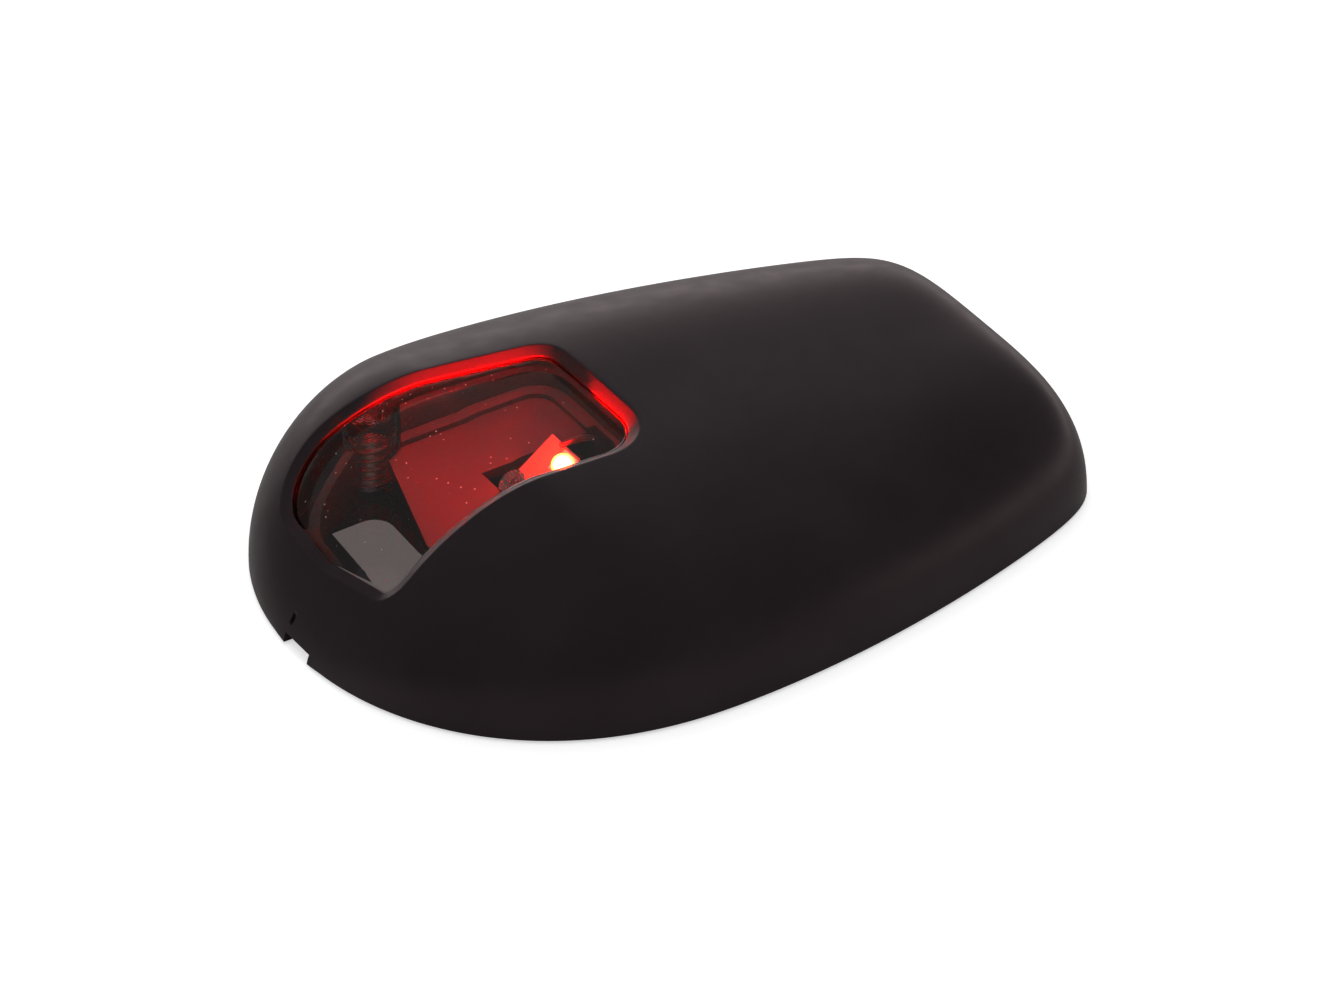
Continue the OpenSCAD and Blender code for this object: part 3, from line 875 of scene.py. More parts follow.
def lathe(name: str, profile: Sequence[Span], matrix: Matrix, sides: int = 64) -> Object:
    """Turns a profile about the vertical axis.

    Args:
        name: name of the object.
        profile: radius and height of each point, in millimetres, from the axis back to the axis.
        matrix: place of the turned piece, in millimetres.
        sides: points round the axis.

    Returns:
        The new object.
    """
    skin = Skin()
    angles = np.linspace(0, 2 * math.pi, sides, endpoint=False)
    loops = []
    for r, z in profile:
        if r > 0:
            loops.append(skin.add(circle(angles, r, z)))
        else:
            loops.append(np.full(sides, skin.add(np.array([[0.0, 0.0, z]]))[0]))
    skin.strip(loops)
    skin.faces = [list(dict.fromkeys(quad)) for quad in skin.faces]
    skin.points = np.array([list(matrix @ Vector(p)) for p in skin.points])
    return skin.piece(name)


def block(name: str, low: Triple, high: Triple) -> Object:
    """Box between two corners in millimetres, used as a cutting tool.

    Args:
        name: name of the object.
        low: corner with the lowest values.
        high: corner with the highest values.

    Returns:
        The new object.
    """
    skin = Skin()
    skin.add(np.array([[x, y, z] for z in (low[2], high[2]) for y in (low[1], high[1]) for x in (low[0], high[0])]))
    skin.faces = [[0, 2, 3, 1], [4, 5, 7, 6], [0, 1, 5, 4], [2, 6, 7, 3], [0, 4, 6, 2], [1, 3, 7, 5]]
    return skin.piece(name)


def even(piece: Object) -> None:
    """Shades large faces flat up to their rounded edges."""
    smooth = piece.modifiers.new("faces", "WEIGHTED_NORMAL")
    smooth.keep_sharp = True


def settle(piece: Object, finish: Finish, slot: str, body: Body, nodes: Sequence[str] = ()) -> None:
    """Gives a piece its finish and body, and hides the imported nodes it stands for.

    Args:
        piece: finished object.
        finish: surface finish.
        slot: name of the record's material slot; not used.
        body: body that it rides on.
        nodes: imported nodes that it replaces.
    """
    piece.data.materials.clear()
    piece.data.materials.append(finish.material())
    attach(piece, body.value)
    if nodes:
        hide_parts(*nodes)
    LOG.info("%s: %d faces, %s, rides on %s", piece.name, len(piece.data.polygons), finish.name, body.value)


def eased(node: str, name: str, width_mm: float, sharp: float = NODE_CRISP) -> Object:
    """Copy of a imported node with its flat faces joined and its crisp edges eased.

    Args:
        node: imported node.
        name: name of the new piece.
        width_mm: width of the eased edge.
        sharp: angle, in degrees, above which an edge is eased.

    Returns:
        The new object.
    """
    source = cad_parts[node].data
    mesh = bpy.data.meshes.new(name)
    mesh.from_pydata([v.co[:] for v in source.vertices], [], [list(p.vertices) for p in source.polygons])
    work = bmesh.new()
    work.from_mesh(mesh)
    bmesh.ops.remove_doubles(work, verts=work.verts, dist=NODE_TINY)
    bmesh.ops.dissolve_limit(work, angle_limit=math.radians(NODE_FLAT), verts=work.verts, edges=work.edges)
    work.to_mesh(mesh)
    work.free()
    made = finish_mesh(name, mesh, sharp)
    if width_mm > 0:
        edge = made.modifiers.new("eased", "BEVEL")
        edge.width, edge.segments = width_mm * MM, 2
        edge.limit_method, edge.angle_limit = "ANGLE", math.radians(sharp)
        bake_modifiers(made, EASED_CRISP)
        even(made)
    return made


def dress_nodes(rows: Iterable[tuple[str, str, float, Finish, str]]) -> None:
    """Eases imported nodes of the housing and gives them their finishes.

    Args:
        rows: for each, the node, the name of its piece, the width of its eased edges, its finish and its slot.
    """
    for node, name, width_mm, finish, slot in rows:
        settle(eased(node, name, width_mm), finish, slot, Body.HOUSING, [node])


# ---------------------------------------------------------------- shapes


@dataclass(frozen=True)
class ShellShape:
    """Outer form of the cover and the same form moved inwards, in millimetres."""

    length: float = 90.0
    width: float = 68.6
    crown_h: float = 16.1
    crown_rise: float = 0.09
    wide_x: float = 8.7
    crown_x: float = 18.0
    taper: float = 0.33
    taper_power: float = 1.9
    side_power: float = 3.45
    roof_power: float = 2.45
    nose_plan: Span = (2.28, 2.07)
    tail_plan: Span = (20, 7.7)
    nose_crown: Span = (1.77, 1.3)
    tail_crown: Span = (33, 4.85)
    tail_end: float = 0.9993
    nose_end: float = 0.9997
    low_share: float = 0.35
    crowding: tuple[int, int] = (4, 3)  # how much closer stations stand at the tail and at the nose
    samples: int = 6000
    turn_samples: int = 8001

    @staticmethod
    def end_fall(t: np.ndarray, a: float, b: float) -> np.ndarray:
        """Falls from 1 at the middle to 0 at an end, for t from 0 to 1."""
        return (1 - np.clip(t, 0, 1) ** a) ** (1 / b)

    def half_width(self, x: np.ndarray, d: float) -> np.ndarray:
        """Half width of the plan at x, d inside the cover.

        Args:
            x: places along the length.
            d: distance inside the cover.

        Returns:
            Half widths, one a place.
        """
        half, end = self.width / 2, self.length / 2 - d
        nose = (half - d) * self.end_fall((x - self.wide_x) / (end - self.wide_x), *self.nose_plan)
        t = np.clip((self.wide_x - x) / (self.wide_x + end), 0, 1)
        tail = (half * (1 - self.taper * t**self.taper_power) - d) * self.end_fall(t, *self.tail_plan)
        return np.where(x > self.wide_x, nose, tail)

    def crown(self, x: np.ndarray, d: float) -> np.ndarray:
        """Height of the crown line at x, d inside the cover.

        Args:
            x: places along the length.
            d: distance inside the cover.

        Returns:
            Heights, one a place.
        """
        end = self.length / 2 - d
        nose = self.end_fall((x - self.crown_x) / (end - self.crown_x), *self.nose_crown)
        tail = self.end_fall((self.crown_x - x) / (self.crown_x + end), *self.tail_crown)
        return (self.crown_h + self.crown_rise * x - d) * nose * tail

    def height(self, x: np.ndarray, y: np.ndarray, d: float) -> np.ndarray:
        """Height of the surface over plan points, d inside the cover.

        Args:
            x: places along the length.
            y: places across.
            d: distance inside the cover.

        Returns:
            Heights, one a plan point.
        """
        w = np.maximum(self.half_width(x, d), SPECK)
        share = np.clip(np.abs(y) / w, 0, 1)
        return self.crown(x, d) * (1 - share**self.side_power) ** (1 / self.roof_power)

    def stations(self, d: float, count: int) -> np.ndarray:
        """Places along the length that follow the outline at even steps.

        Args:
            d: distance inside the cover.
            count: number of places.

        Returns:
            The places, from the tail to the nose.
        """
        s, end = np.linspace(0, 1, self.samples), self.length / 2 - d
        near_tail, near_nose = (1 - (1 - s) ** power for power in self.crowding)
        tail = self.wide_x - (self.wide_x + end) * np.minimum(near_tail[::-1], self.tail_end)
        nose = self.wide_x + (end - self.wide_x) * np.minimum(near_nose[1:], self.nose_end)
        x = np.unique(np.concatenate([tail, nose]))
        strides = [np.diff(x), np.diff(self.half_width(x, d)), np.diff(self.crown(x, d))]
        way = np.cumsum(np.r_[0, np.sqrt(sum(stride**2 for stride in strides))])
        return np.interp(np.linspace(0, way[-1], count), way, x)

    def arch(self, turn: np.ndarray, w: np.ndarray, h: np.ndarray) -> tuple[np.ndarray, np.ndarray]:
        """Place across and height of points at angles over the crown."""
        c, s = np.cos(turn), np.clip(np.sin(turn), 0, 1)
        return -np.sign(c) * w * np.abs(c) ** (2 / self.side_power), h * s ** (2 / self.roof_power)

    def turns(self, steps: int) -> np.ndarray:
        """Angles over the crown that follow a section at even steps.

        Args:
            steps: steps of a section.

        Returns:
            Angles from the -Y foot to the +Y foot.
        """
        dense = np.linspace(0, math.pi, self.turn_samples)
        y, z = self.arch(dense, np.float64(self.width / 2), np.float64(self.crown_h))
        way = np.cumsum(np.r_[0, np.hypot(np.diff(y), np.diff(z))])
        return np.interp(np.linspace(0, way[-1], steps + 1), way, dense)

    def section(self, x: np.ndarray, d: float, steps: int, foot: float) -> np.ndarray:
        """Cross-sections from the -Y edge over the crown to the +Y edge.

        Args:
            x: places along the length.
            d: distance inside the cover.
            steps: steps of each section.
            foot: height at which a section starts, where the shell is tall enough.

        Returns:
            Points, one row of them a place.
        """
        w, h = self.half_width(x, d)[:, None], self.crown(x, d)[:, None]
        low = np.minimum(foot, self.low_share * h)
        first = np.arcsin((low / h) ** (self.roof_power / 2))
        y, z = self.arch(first + (1 - 2 * first / math.pi) * self.turns(steps)[None, :], w, h)
        z[:, 0] = z[:, -1] = low[:, 0]
        return np.stack([np.broadcast_to(x[:, None], y.shape), y, z], axis=2)

    def place(self, plan: np.ndarray, d: float, x: np.ndarray, steps: int) -> tuple[np.ndarray, np.ndarray]:
        """Grid place, along and across, of plan points on the shell.

        Args:
            plan: plan points, one a row.
            d: distance inside the cover.
            x: stations of the shell.
            steps: steps of each section.

        Returns:
            Grid places along and across.
        """
        along = np.interp(plan[:, 0], x, np.arange(len(x)))
        share = np.clip(plan[:, 1] / self.half_width(plan[:, 0], d), -1, 1)
        turn = np.arccos(-np.sign(share) * np.abs(share) ** (self.side_power / 2))
        return along, np.interp(turn, self.turns(steps), np.arange(steps + 1))


@dataclass(frozen=True)
class Outline:
    """Rounded outline round corner circles, each x, y and radius, counterclockwise."""

    corners: tuple[Triple, ...]
    step: float = 0.5
    fewest: int = 6

    def frame(self) -> tuple[np.ndarray, np.ndarray]:
        """Points of the outline and the directions in which it grows.

        Returns:
            The points, and for each the direction outwards.
        """
        count = len(self.corners)
        angle = []
        for k in range(count):
            a, b = self.corners[k], self.corners[(k + 1) % count]
            dx, dy = b[0] - a[0], b[1] - a[1]
            angle.append(math.atan2(dy, dx) - math.pi / 2 - math.asin((b[2] - a[2]) / math.hypot(dx, dy)))
        points, ways = [], []
        for k in range(count):
            x, y, r = self.corners[k]
            start = angle[k - 1]
            turn = (angle[k] - start) % (2 * math.pi)
            steps = max(self.fewest, math.ceil(r * turn / self.step))
            for t in np.linspace(0, 1, steps + 1):
                a = start + turn * t
                ways.append((math.cos(a), math.sin(a)))
                points.append((x + r * math.cos(a), y + r * math.sin(a)))
            nx, ny, nr = self.corners[(k + 1) % count]
            end = np.array(points[-1])
            goal = np.array([nx + nr * math.cos(angle[k]), ny + nr * math.sin(angle[k])])
            pieces = max(1, math.ceil(np.linalg.norm(goal - end) / self.step))
            for m in range(1, pieces):
                points.append(tuple(end + (goal - end) * m / pieces))
                ways.append(ways[-1])
        return np.array(points), np.array(ways)

    def grown(self, g: float) -> np.ndarray:
        """Points of the outline grown by g."""
        points, ways = self.frame()
        return points + g * ways


WINDOW = Outline(
    ((5.8, -13.2, 2.1), (30.3, -9.24, 8.01), (31.71, -2.65, 7.11), (36.12, 6.33, 1.62), (9.79, 0.23, 6.07))
)
MODULE = Outline(
    (
        (-31.5, -15.5, 4.0),
        (24.2, -20.2, 4.6),
        (32.5, -10.6, 7.3),
        (36.2, 6.6, 3.8),
        (29.0, 14.5, 4.5),
        (-31.5, 15.5, 4.0),
    )
)
SHAPE = ShellShape()


def on_shell(plan: np.ndarray, d: float) -> np.ndarray:
    """Lifts plan points onto the cover's form moved inwards by d."""
    return np.c_[plan, SHAPE.height(plan[:, 0], plan[:, 1], d)]


def at_height(plan: np.ndarray, z: float) -> np.ndarray:
    """Lifts plan points to one height."""
    return np.c_[plan, np.full(len(plan), z)]


# ---------------------------------------------------------------- sub-assemblies


@dataclass
class ClipCover:
    """Black outer shell with its window, eased foot, pry notch and slot."""

    wall: float = 2.0
    bevel: float = 1.3
    bevel_run: float = 0.3
    bevel_slope: float = 0.6
    edge_r: float = 0.16
    sill_r: float = 0.12
    foot_r: float = 0.3
    stations: int = 230
    steps: int = 160
    inner_steps: int = 80
    patch_step: float = 0.62
    patch_margin: int = 2
    foot_turns: tuple[int, ...] = (25, 50, 72, 90)
    notch_w: float = 5.0
    notch_h: float = 1.2
    notch_l: float = 6.0
    slot_w: float = 0.6
    slot_h: float = 2.0
    slot_l: float = 1.6
    slot_gap: float = 1.0
    overcut: float = 1.0

    def shell(self, skin: Skin, d: float, steps: int, foot: float, rim: np.ndarray) -> np.ndarray:
        """Adds one surface of the shell, round a hole.

        Args:
            skin: mesh that gets the surface.
            d: distance inside the cover's outside.
            steps: steps across.
            foot: height of the lowest row.
            rim: point numbers of the hole's rim.

        Returns:
            Point numbers of the foot loop.
        """
        x = SHAPE.stations(d, self.stations)
        grid = skin.add(SHAPE.section(x, d, steps, foot))
        along, across = SHAPE.place(skin.points[rim][:, :2], d, x, steps)
        i0, i1 = int(along.min()) - self.patch_margin, int(along.max()) + 2 * self.patch_margin
        j0, j1 = int(across.min()) - self.patch_margin, int(across.max()) + 2 * self.patch_margin
        cells = np.ones((len(x) - 1, steps), bool)
        cells[i0:i1, j0:j1] = False
        i, j = np.nonzero(cells)
        skin.faces += np.stack([grid[i, j], grid[i, j + 1], grid[i + 1, j + 1], grid[i + 1, j]], axis=1).tolist()
        border = np.concatenate([grid[i0, j0:j1], grid[i0:i1, j1], grid[i1, j1:j0:-1], grid[i1:i0:-1, j0]])
        skin.fill([border, rim], lambda px, py: SHAPE.height(px, py, d), self.patch_step)
        skin.faces += [grid[0].tolist(), grid[-1, ::-1].tolist()]
        return np.concatenate([grid[:, 0], grid[::-1, -1]])

    def foot(self, skin: Skin, outer: np.ndarray, inner: np.ndarray) -> None:
        """Rounds the outer foot edge and closes the underside.

        Args:
            skin: mesh of the cover.
            outer: point numbers of the outer foot loop.
            inner: point numbers of the inner foot loop.
        """
        line = skin.points[outer]
        way = np.roll(line, -1, axis=0) - np.roll(line, 1, axis=0)
        out = np.c_[way[:, 1], -way[:, 0], np.zeros(len(way))]
        out /= np.linalg.norm(out, axis=1)[:, None]
        rise = line[:, 2:3].copy()
        rows: Rows = [outer]
        for turn in np.radians(self.foot_turns):
            row = line - out * rise * (1 - math.cos(turn))
            row[:, 2] = (rise * (1 - math.sin(turn)))[:, 0]
            rows.append(row)
        skin.strip([*rows, inner])

    def window_band(self, skin: Skin, rim: np.ndarray, sill: np.ndarray) -> None:
        """Adds the eased rim, the bevel and the cut face of the window.

        Args:
            skin: mesh of the cover.
            rim: point numbers of the window's edge outside.
            sill: point numbers of the window's edge inside.
        """
        low = WINDOW.grown(-self.bevel_run)
        high = WINDOW.grown(self.bevel + self.bevel_run)
        drop = (self.bevel + self.bevel_run) * self.bevel_slope
        low_z = SHAPE.height(low[:, 0], low[:, 1], 0) - drop
        high_z = SHAPE.height(high[:, 0], high[:, 1], 0) + self.bevel_run * self.bevel_slope
        share = self.bevel_run / (self.bevel + 2 * self.bevel_run)
        upper = on_shell(WINDOW.grown(self.bevel), 0)
        lower = np.c_[WINDOW.grown(0), low_z + (high_z - low_z) * share]
        start, end = skin.points[rim], skin.points[sill]
        bevel_top = towards(upper, lower, self.edge_r)
        bevel_foot = towards(lower, upper, self.sill_r)
        face_top = towards(lower, end, self.sill_r)
        rows = [rim, *arc_rows(start, upper, bevel_top)[1:], (bevel_top + bevel_foot) / 2]
        rows += arc_rows(bevel_foot, lower, face_top) + [(face_top + end) / 2, sill]
        skin.strip(rows)

    def build(self) -> Object:
        """Makes the cover's mesh.

        Returns:
            The closed shell with its notch and slot cut.
        """
        skin = Skin()
        rim = skin.add(on_shell(WINDOW.grown(self.bevel + self.edge_r), 0))
        sill = skin.add(on_shell(WINDOW.grown(0), self.wall))
        outer = self.shell(skin, 0.0, self.steps, self.foot_r, rim)
        inner = self.shell(skin, self.wall, self.inner_steps, 0.0, sill)
        self.window_band(skin, rim, sill)
        self.foot(skin, outer, inner)
        cover = skin.piece("cover_moulding")
        nose, half, low = SHAPE.length / 2, self.notch_w / 2, self.notch_h + self.slot_gap
        past, high = nose + 2 * self.overcut, low + self.slot_h
        notch = block("notch_cut", (nose - self.notch_l, -half, -self.overcut), (past, half, self.notch_h))
        slot = block("slot_cut", (nose - self.slot_l, -half, low), (past, self.slot_w - half, high))
        combine(cover, [notch, slot], "DIFFERENCE")
        return cover

    def dress(self) -> None:
        """Builds the cover and gives it its finish."""
        cover = self.build()
        even(cover)
        settle(cover, ASA_COVER, "cover_plastic", Body.COVER, ["cover"])


@dataclass
class Screw:
    """Countersunk thread-forming screw, point up, in millimetres."""

    r: float = 1.72
    core: float = 1.27
    pitch: float = 1.1
    flank: float = 0.3
    crest_power: float = 0.85
    head_r: float = 2.78
    head_h: float = 1.4
    head_ease: float = 0.06
    head_rim: float = 0.1
    point_h: float = 1.2
    point_gap: float = 0.15
    fade_gap: float = 0.25
    point_power: float = 0.8
    blunt: float = 0.06
    around: int = 56
    per_turn: int = 22

    def build(self, name: str, x: float, y: float, z0: float, z1: float) -> Object:
        """Makes one screw that stands at x, y between two heights.

        Args:
            name: name of the piece.
            x: place along the length.
            y: place across.
            z0: height of the head's face.
            z1: height of the point.

        Returns:
            The screw.
        """
        skin = Skin()
        angles = np.linspace(0, 2 * math.pi, self.around, endpoint=False)
        start, ease = z0 + self.head_h, self.head_ease
        rim = z0 + ease + self.head_rim
        head = [(self.head_r - ease, z0), (self.head_r, z0 + ease), (self.head_r, rim), (self.core, start)]
        rows = [circle(angles, r, z) for r, z in head]
        for z in np.arange(start + self.point_gap, z1 - self.point_gap, self.pitch / self.per_turn):
            phase = ((z - start) / self.pitch - angles / (2 * math.pi)) % 1.0
            crest = np.clip(1 - np.abs(phase - 0.5) / self.flank, 0, 1) ** self.crest_power
            fade = min(1.0, (z - start) / self.pitch, max(0.0, (z1 - z - self.fade_gap) / self.point_h))
            taper = min(1.0, max(self.blunt, (z1 - z) / self.point_h) ** self.point_power)
            rows.append(circle(angles, self.core * taper + (self.r - self.core) * crest * max(0.0, fade), z))
        numbers = [skin.add(row) for row in rows]
        skin.strip(numbers)
        tip, foot = skin.add(np.array([[0, 0, z1]])), skin.add(np.array([[0, 0, z0]]))
        for loop, end in ((numbers[-1], tip[0]), (numbers[0], foot[0])):
            skin.faces += [[int(a), int(b), int(end)] for a, b in zip(loop, np.roll(loop, -1))]
        skin.points += np.array([x, y, 0.0])
        return skin.piece(name, THREAD_CRISP)


@dataclass
class ClearLens:
    """Clear cap of the sealed module, with the screws in its corner bosses."""

    skirt_z: float = 4.0
    skirt_wall: float = 1.6
    flange_d: float = 2.4
    pad_d: float = 1.0
    pad_gap: float = 0.2
    under_d: float = 3.4
    edge_r: float = 0.25
    flange_step: float = 1.0
    pad_step: float = 0.6
    under_step: float = 0.7
    boss_r: float = 3.0
    boss_ease: float = 0.2
    bore_r: float = 1.2
    bite: float = 1.5
    screw_foot: float = 0.8
    # insets of the black ring round the window, which is painted shade
    paint: Span = (-0.06, -0.14)
    sliver: float = 0.01
    overcut: float = 1.0
    bosses: tuple[tuple[float, float, float, float], ...] = (
        (24.0, -18.5, 12.4, 10.4),
        (29.0, 14.5, 9.6, 8.8),
        (-30.2, 14.8, 8.6, 7.8),
        (-30.2, -14.8, 8.6, 7.8),
    )

    def wall(self, skin: Skin, foot: np.ndarray, edge: np.ndarray, top: np.ndarray) -> None:
        """Joins a foot loop to a top loop by a wall with a rounded upper edge."""
        below = edge - np.array([0, 0, self.edge_r])
        skin.strip([foot, *arc_rows(below, edge, skin.points[top])[:-1], top])

    def bars(self, name: str, ends: Sequence[float], profile: Callable[[float], list[Span]]) -> list[Object]:
        """Makes a round bar at each boss.

        Args:
            name: start of each bar's name.
            ends: height of each bar's upper end.
            profile: turns such a height into the bar's profile.

        Returns:
            The bars, to join or to cut with.
        """
        at = [Matrix.Translation((x, y, 0)) for x, y, _, _ in self.bosses]
        return [lathe(f"{name}_{k}", profile(end), place) for k, (end, place) in enumerate(zip(ends, at))]

    def build(self) -> Object:
        """Makes the lens, hollow below, with its bosses joined and bored.

        Returns:
            The lens.
        """
        skin = Skin()
        e, foot_z = self.edge_r, self.skirt_z
        outer_foot = skin.add(at_height(MODULE.grown(0), foot_z))
        flange = skin.add(on_shell(MODULE.grown(-e), self.flange_d))
        self.wall(skin, outer_foot, on_shell(MODULE.grown(0), self.flange_d), flange)
        pad_foot = skin.add(on_shell(WINDOW.grown(-self.pad_gap), self.flange_d))
        pad_top = skin.add(on_shell(WINDOW.grown(-self.pad_gap - e), self.pad_d))
        self.wall(skin, pad_foot, on_shell(WINDOW.grown(-self.pad_gap), self.pad_d), pad_top)
        skin.fill([flange, pad_foot], lambda x, y: SHAPE.height(x, y, self.flange_d), self.flange_step)
        skin.fill([pad_top], lambda x, y: SHAPE.height(x, y, self.pad_d), self.pad_step)
        inner_foot = skin.add(at_height(MODULE.grown(-self.skirt_wall), foot_z))
        ceiling = skin.add(on_shell(MODULE.grown(-self.skirt_wall - e), self.under_d))
        self.wall(skin, inner_foot, on_shell(MODULE.grown(-self.skirt_wall), self.under_d), ceiling)
        skin.fill([ceiling], lambda x, y: SHAPE.height(x, y, self.under_d), self.under_step)
        skin.bridge(outer_foot, inner_foot)
        lens = skin.piece("lens_moulding")
        r, bore, ease = self.boss_r, self.bore_r, self.boss_ease
        tops, tips = [boss[2] for boss in self.bosses], [boss[3] - self.bite for boss in self.bosses]
        posts = self.bars("post", tops, lambda z: [(0, foot_z), (r, foot_z), (r, z - ease), (r - ease, z), (0, z)])
        combine(lens, posts, "UNION")
        start_z = foot_z - self.overcut
        holes = self.bars("bore", tips, lambda z: [(0, start_z), (bore, start_z), (bore, z), (0, z)])
        combine(lens, holes, "DIFFERENCE")
        weld(lens, self.sliver)
        return lens

    def painted_shade_ring(self) -> Object:
        """Makes a black ring round the raised window, painted shade at the window's edge, which also keeps light
        out of the gap beside it.

        Returns:
            The thin black ring.
        """
        skin = Skin()
        outer, inner = (WINDOW.grown(g) for g in self.paint)
        ring = ((outer, self.pad_d), (inner, self.pad_d), (inner, self.flange_d), (outer, self.flange_d))
        loops = [skin.add(on_shell(plan, d)) for plan, d in ring]
        skin.strip([*loops, loops[0]])
        return skin.piece("lens_shade_ring_painted")

    def dress(self) -> None:
        """Builds the lens and its screws and gives them their finishes."""
        lens = self.build()
        lens.visible_shadow = False
        settle(lens, PC_CLEAR, "clear_plastic", Body.HOUSING, ["lens"])
        # painted shade: the black ring round the window, which also keeps light from the gap beside it
        settle(self.painted_shade_ring(), SHADE_RING_BLACK, "black_plastic", Body.HOUSING)
        screw = Screw()
        for k, (x, y, _, tip) in enumerate(self.bosses):
            made = screw.build(f"module_screw_{k + 1}", x, y, self.screw_foot, tip)
            settle(made, STEEL, "stainless", Body.HOUSING, ["module_screws"])


@dataclass
class LightChamber:
    """Tray behind the lens, with the light source on its bracket."""

    x: float = 12.7
    y: float = 2.4
    z: float = 12.5
    tilt: float = 34.0
    lift: float = 0.9
    dome_r: float = 1.3
    package_h: float = 0.5
    die_r: float = 0.42
    die_sides: int = 24
    dome_top: float = 86.0
    dome_rings: int = 16

    def place(self) -> Matrix:
        """Frame of the light source, with the top of its board at zero height."""
        turn = Matrix.Rotation(math.radians(self.tilt), 4, "Y")
        return Matrix.Translation((self.x, self.y, self.z)) @ turn @ Matrix.Translation((0, 0, -self.lift))

    def die(self) -> Object:
        """Makes the die: a level face on a short post, so that no light goes below it.

        Returns:
            The die.
        """
        middle = self.place() @ Vector((0, 0, self.package_h))
        post = [(0, -self.die_r), (self.die_r, -self.die_r), (self.die_r, self.die_r), (0, self.die_r)]
        return lathe("emitter_die", post, Matrix.Translation(middle), self.die_sides)

    def dome(self) -> Object:
        """Makes the silicone dome, flat below.

        Returns:
            The dome.
        """
        h = self.package_h
        angles = np.radians(np.linspace(0, self.dome_top, self.dome_rings))
        arc = [(self.dome_r * math.cos(a), h + self.dome_r * math.sin(a)) for a in angles]
        return lathe("emitter_dome", [(0, h), *arc, (0, h + self.dome_r)], self.place())

    def dress(self) -> None:
        """Builds the chamber's pieces and gives them their finishes."""
        dress_nodes(
            (
                ("light_tray", "tray_moulding", 0.15, PC_TRAY, "gloss_black"),
                ("heat_sink", "bracket_pressing", 0.2, ALUMINIUM, "aluminium"),
                ("thermal_pad", "pad_sheet", 0.05, PAD, "rubber"),
                ("led_board", "emitter_board", 0.08, WHITE_MASK, "white_plastic"),
                ("led_package", "emitter_package", 0.1, CERAMIC, "ceramic"),
            )
        )
        settle(self.die(), DIE, "red_emitter", Body.HOUSING, ["led_die"])
        dome = self.dome()
        dome.visible_shadow = False
        settle(dome, DOME, "clear_plastic", Body.HOUSING, ["led_dome"])
        dress_nodes([("led_board_screws", "emitter_screws", 0.12, STEEL, "stainless")])


@dataclass
class Driver:
    """Driver board with its parts and the two leads."""

    def dress(self) -> None:
        """Eases every part and gives it its finish."""
        dress_nodes(
            (
                ("driver_board", "driver_panel", 0.08, BOARD, "circuit_board"),
                ("driver_board_screws", "driver_screws", 0.12, STEEL, "stainless"),
                ("driver_inductor", "choke", 0.25, FERRITE, "ferrite"),
                ("driver_capacitors", "capacitor_cans", 0.15, CAN, "aluminium"),
                ("driver_chip", "controller", 0.08, EPOXY, "black_plastic"),
                ("input_diode", "diode_body", 0.12, EPOXY, "black_plastic"),
                ("input_fuse", "fuse_body", 0.1, CERAMIC, "ceramic"),
                ("chip_components", "chip_parts", 0.08, TITANATE, "ceramic"),
                ("solder_pads", "solder_joints", 0.05, SOLDER, "solder"),
            )
        )
        leads = (("lead_positive", RED_LEAD, "red_insulation"), ("lead_negative", BLACK_LEAD, "black_insulation"))
        for node, finish, slot in leads:
            settle(eased(node, node + "_wire", 0.0, THREAD_CRISP), finish, slot, Body.HOUSING, [node])


@dataclass
class HullSide:
    """Hull plate, gasket, grommet and the floor of the sealed module."""

    floor_ease: float = 0.12

    def dress(self) -> None:
        """Eases every part and gives it its finish."""
        dress_nodes(
            (
                ("base_plate", "plate_moulding", 0.15, PA_PLATE, "black_plastic"),
                ("hull_gasket", "gasket_sheet", 0.1, FOAM, "foam_rubber"),
                ("wire_grommet", "grommet_moulding", 0.12, NITRILE, "rubber"),
                ("breather_vent", "vent_plug", 0.1, PTFE, "white_plastic"),
                ("lens_seal", "seal_ring", 0.05, SILICONE_SEAL, "rubber"),
            )
        )
        floor = eased("module_base", "module_floor", self.floor_ease)
        floor.visible_shadow = False
        settle(floor, PC_CLEAR, "clear_plastic", Body.HOUSING, ["module_base"])


# ---------------------------------------------------------------- studio


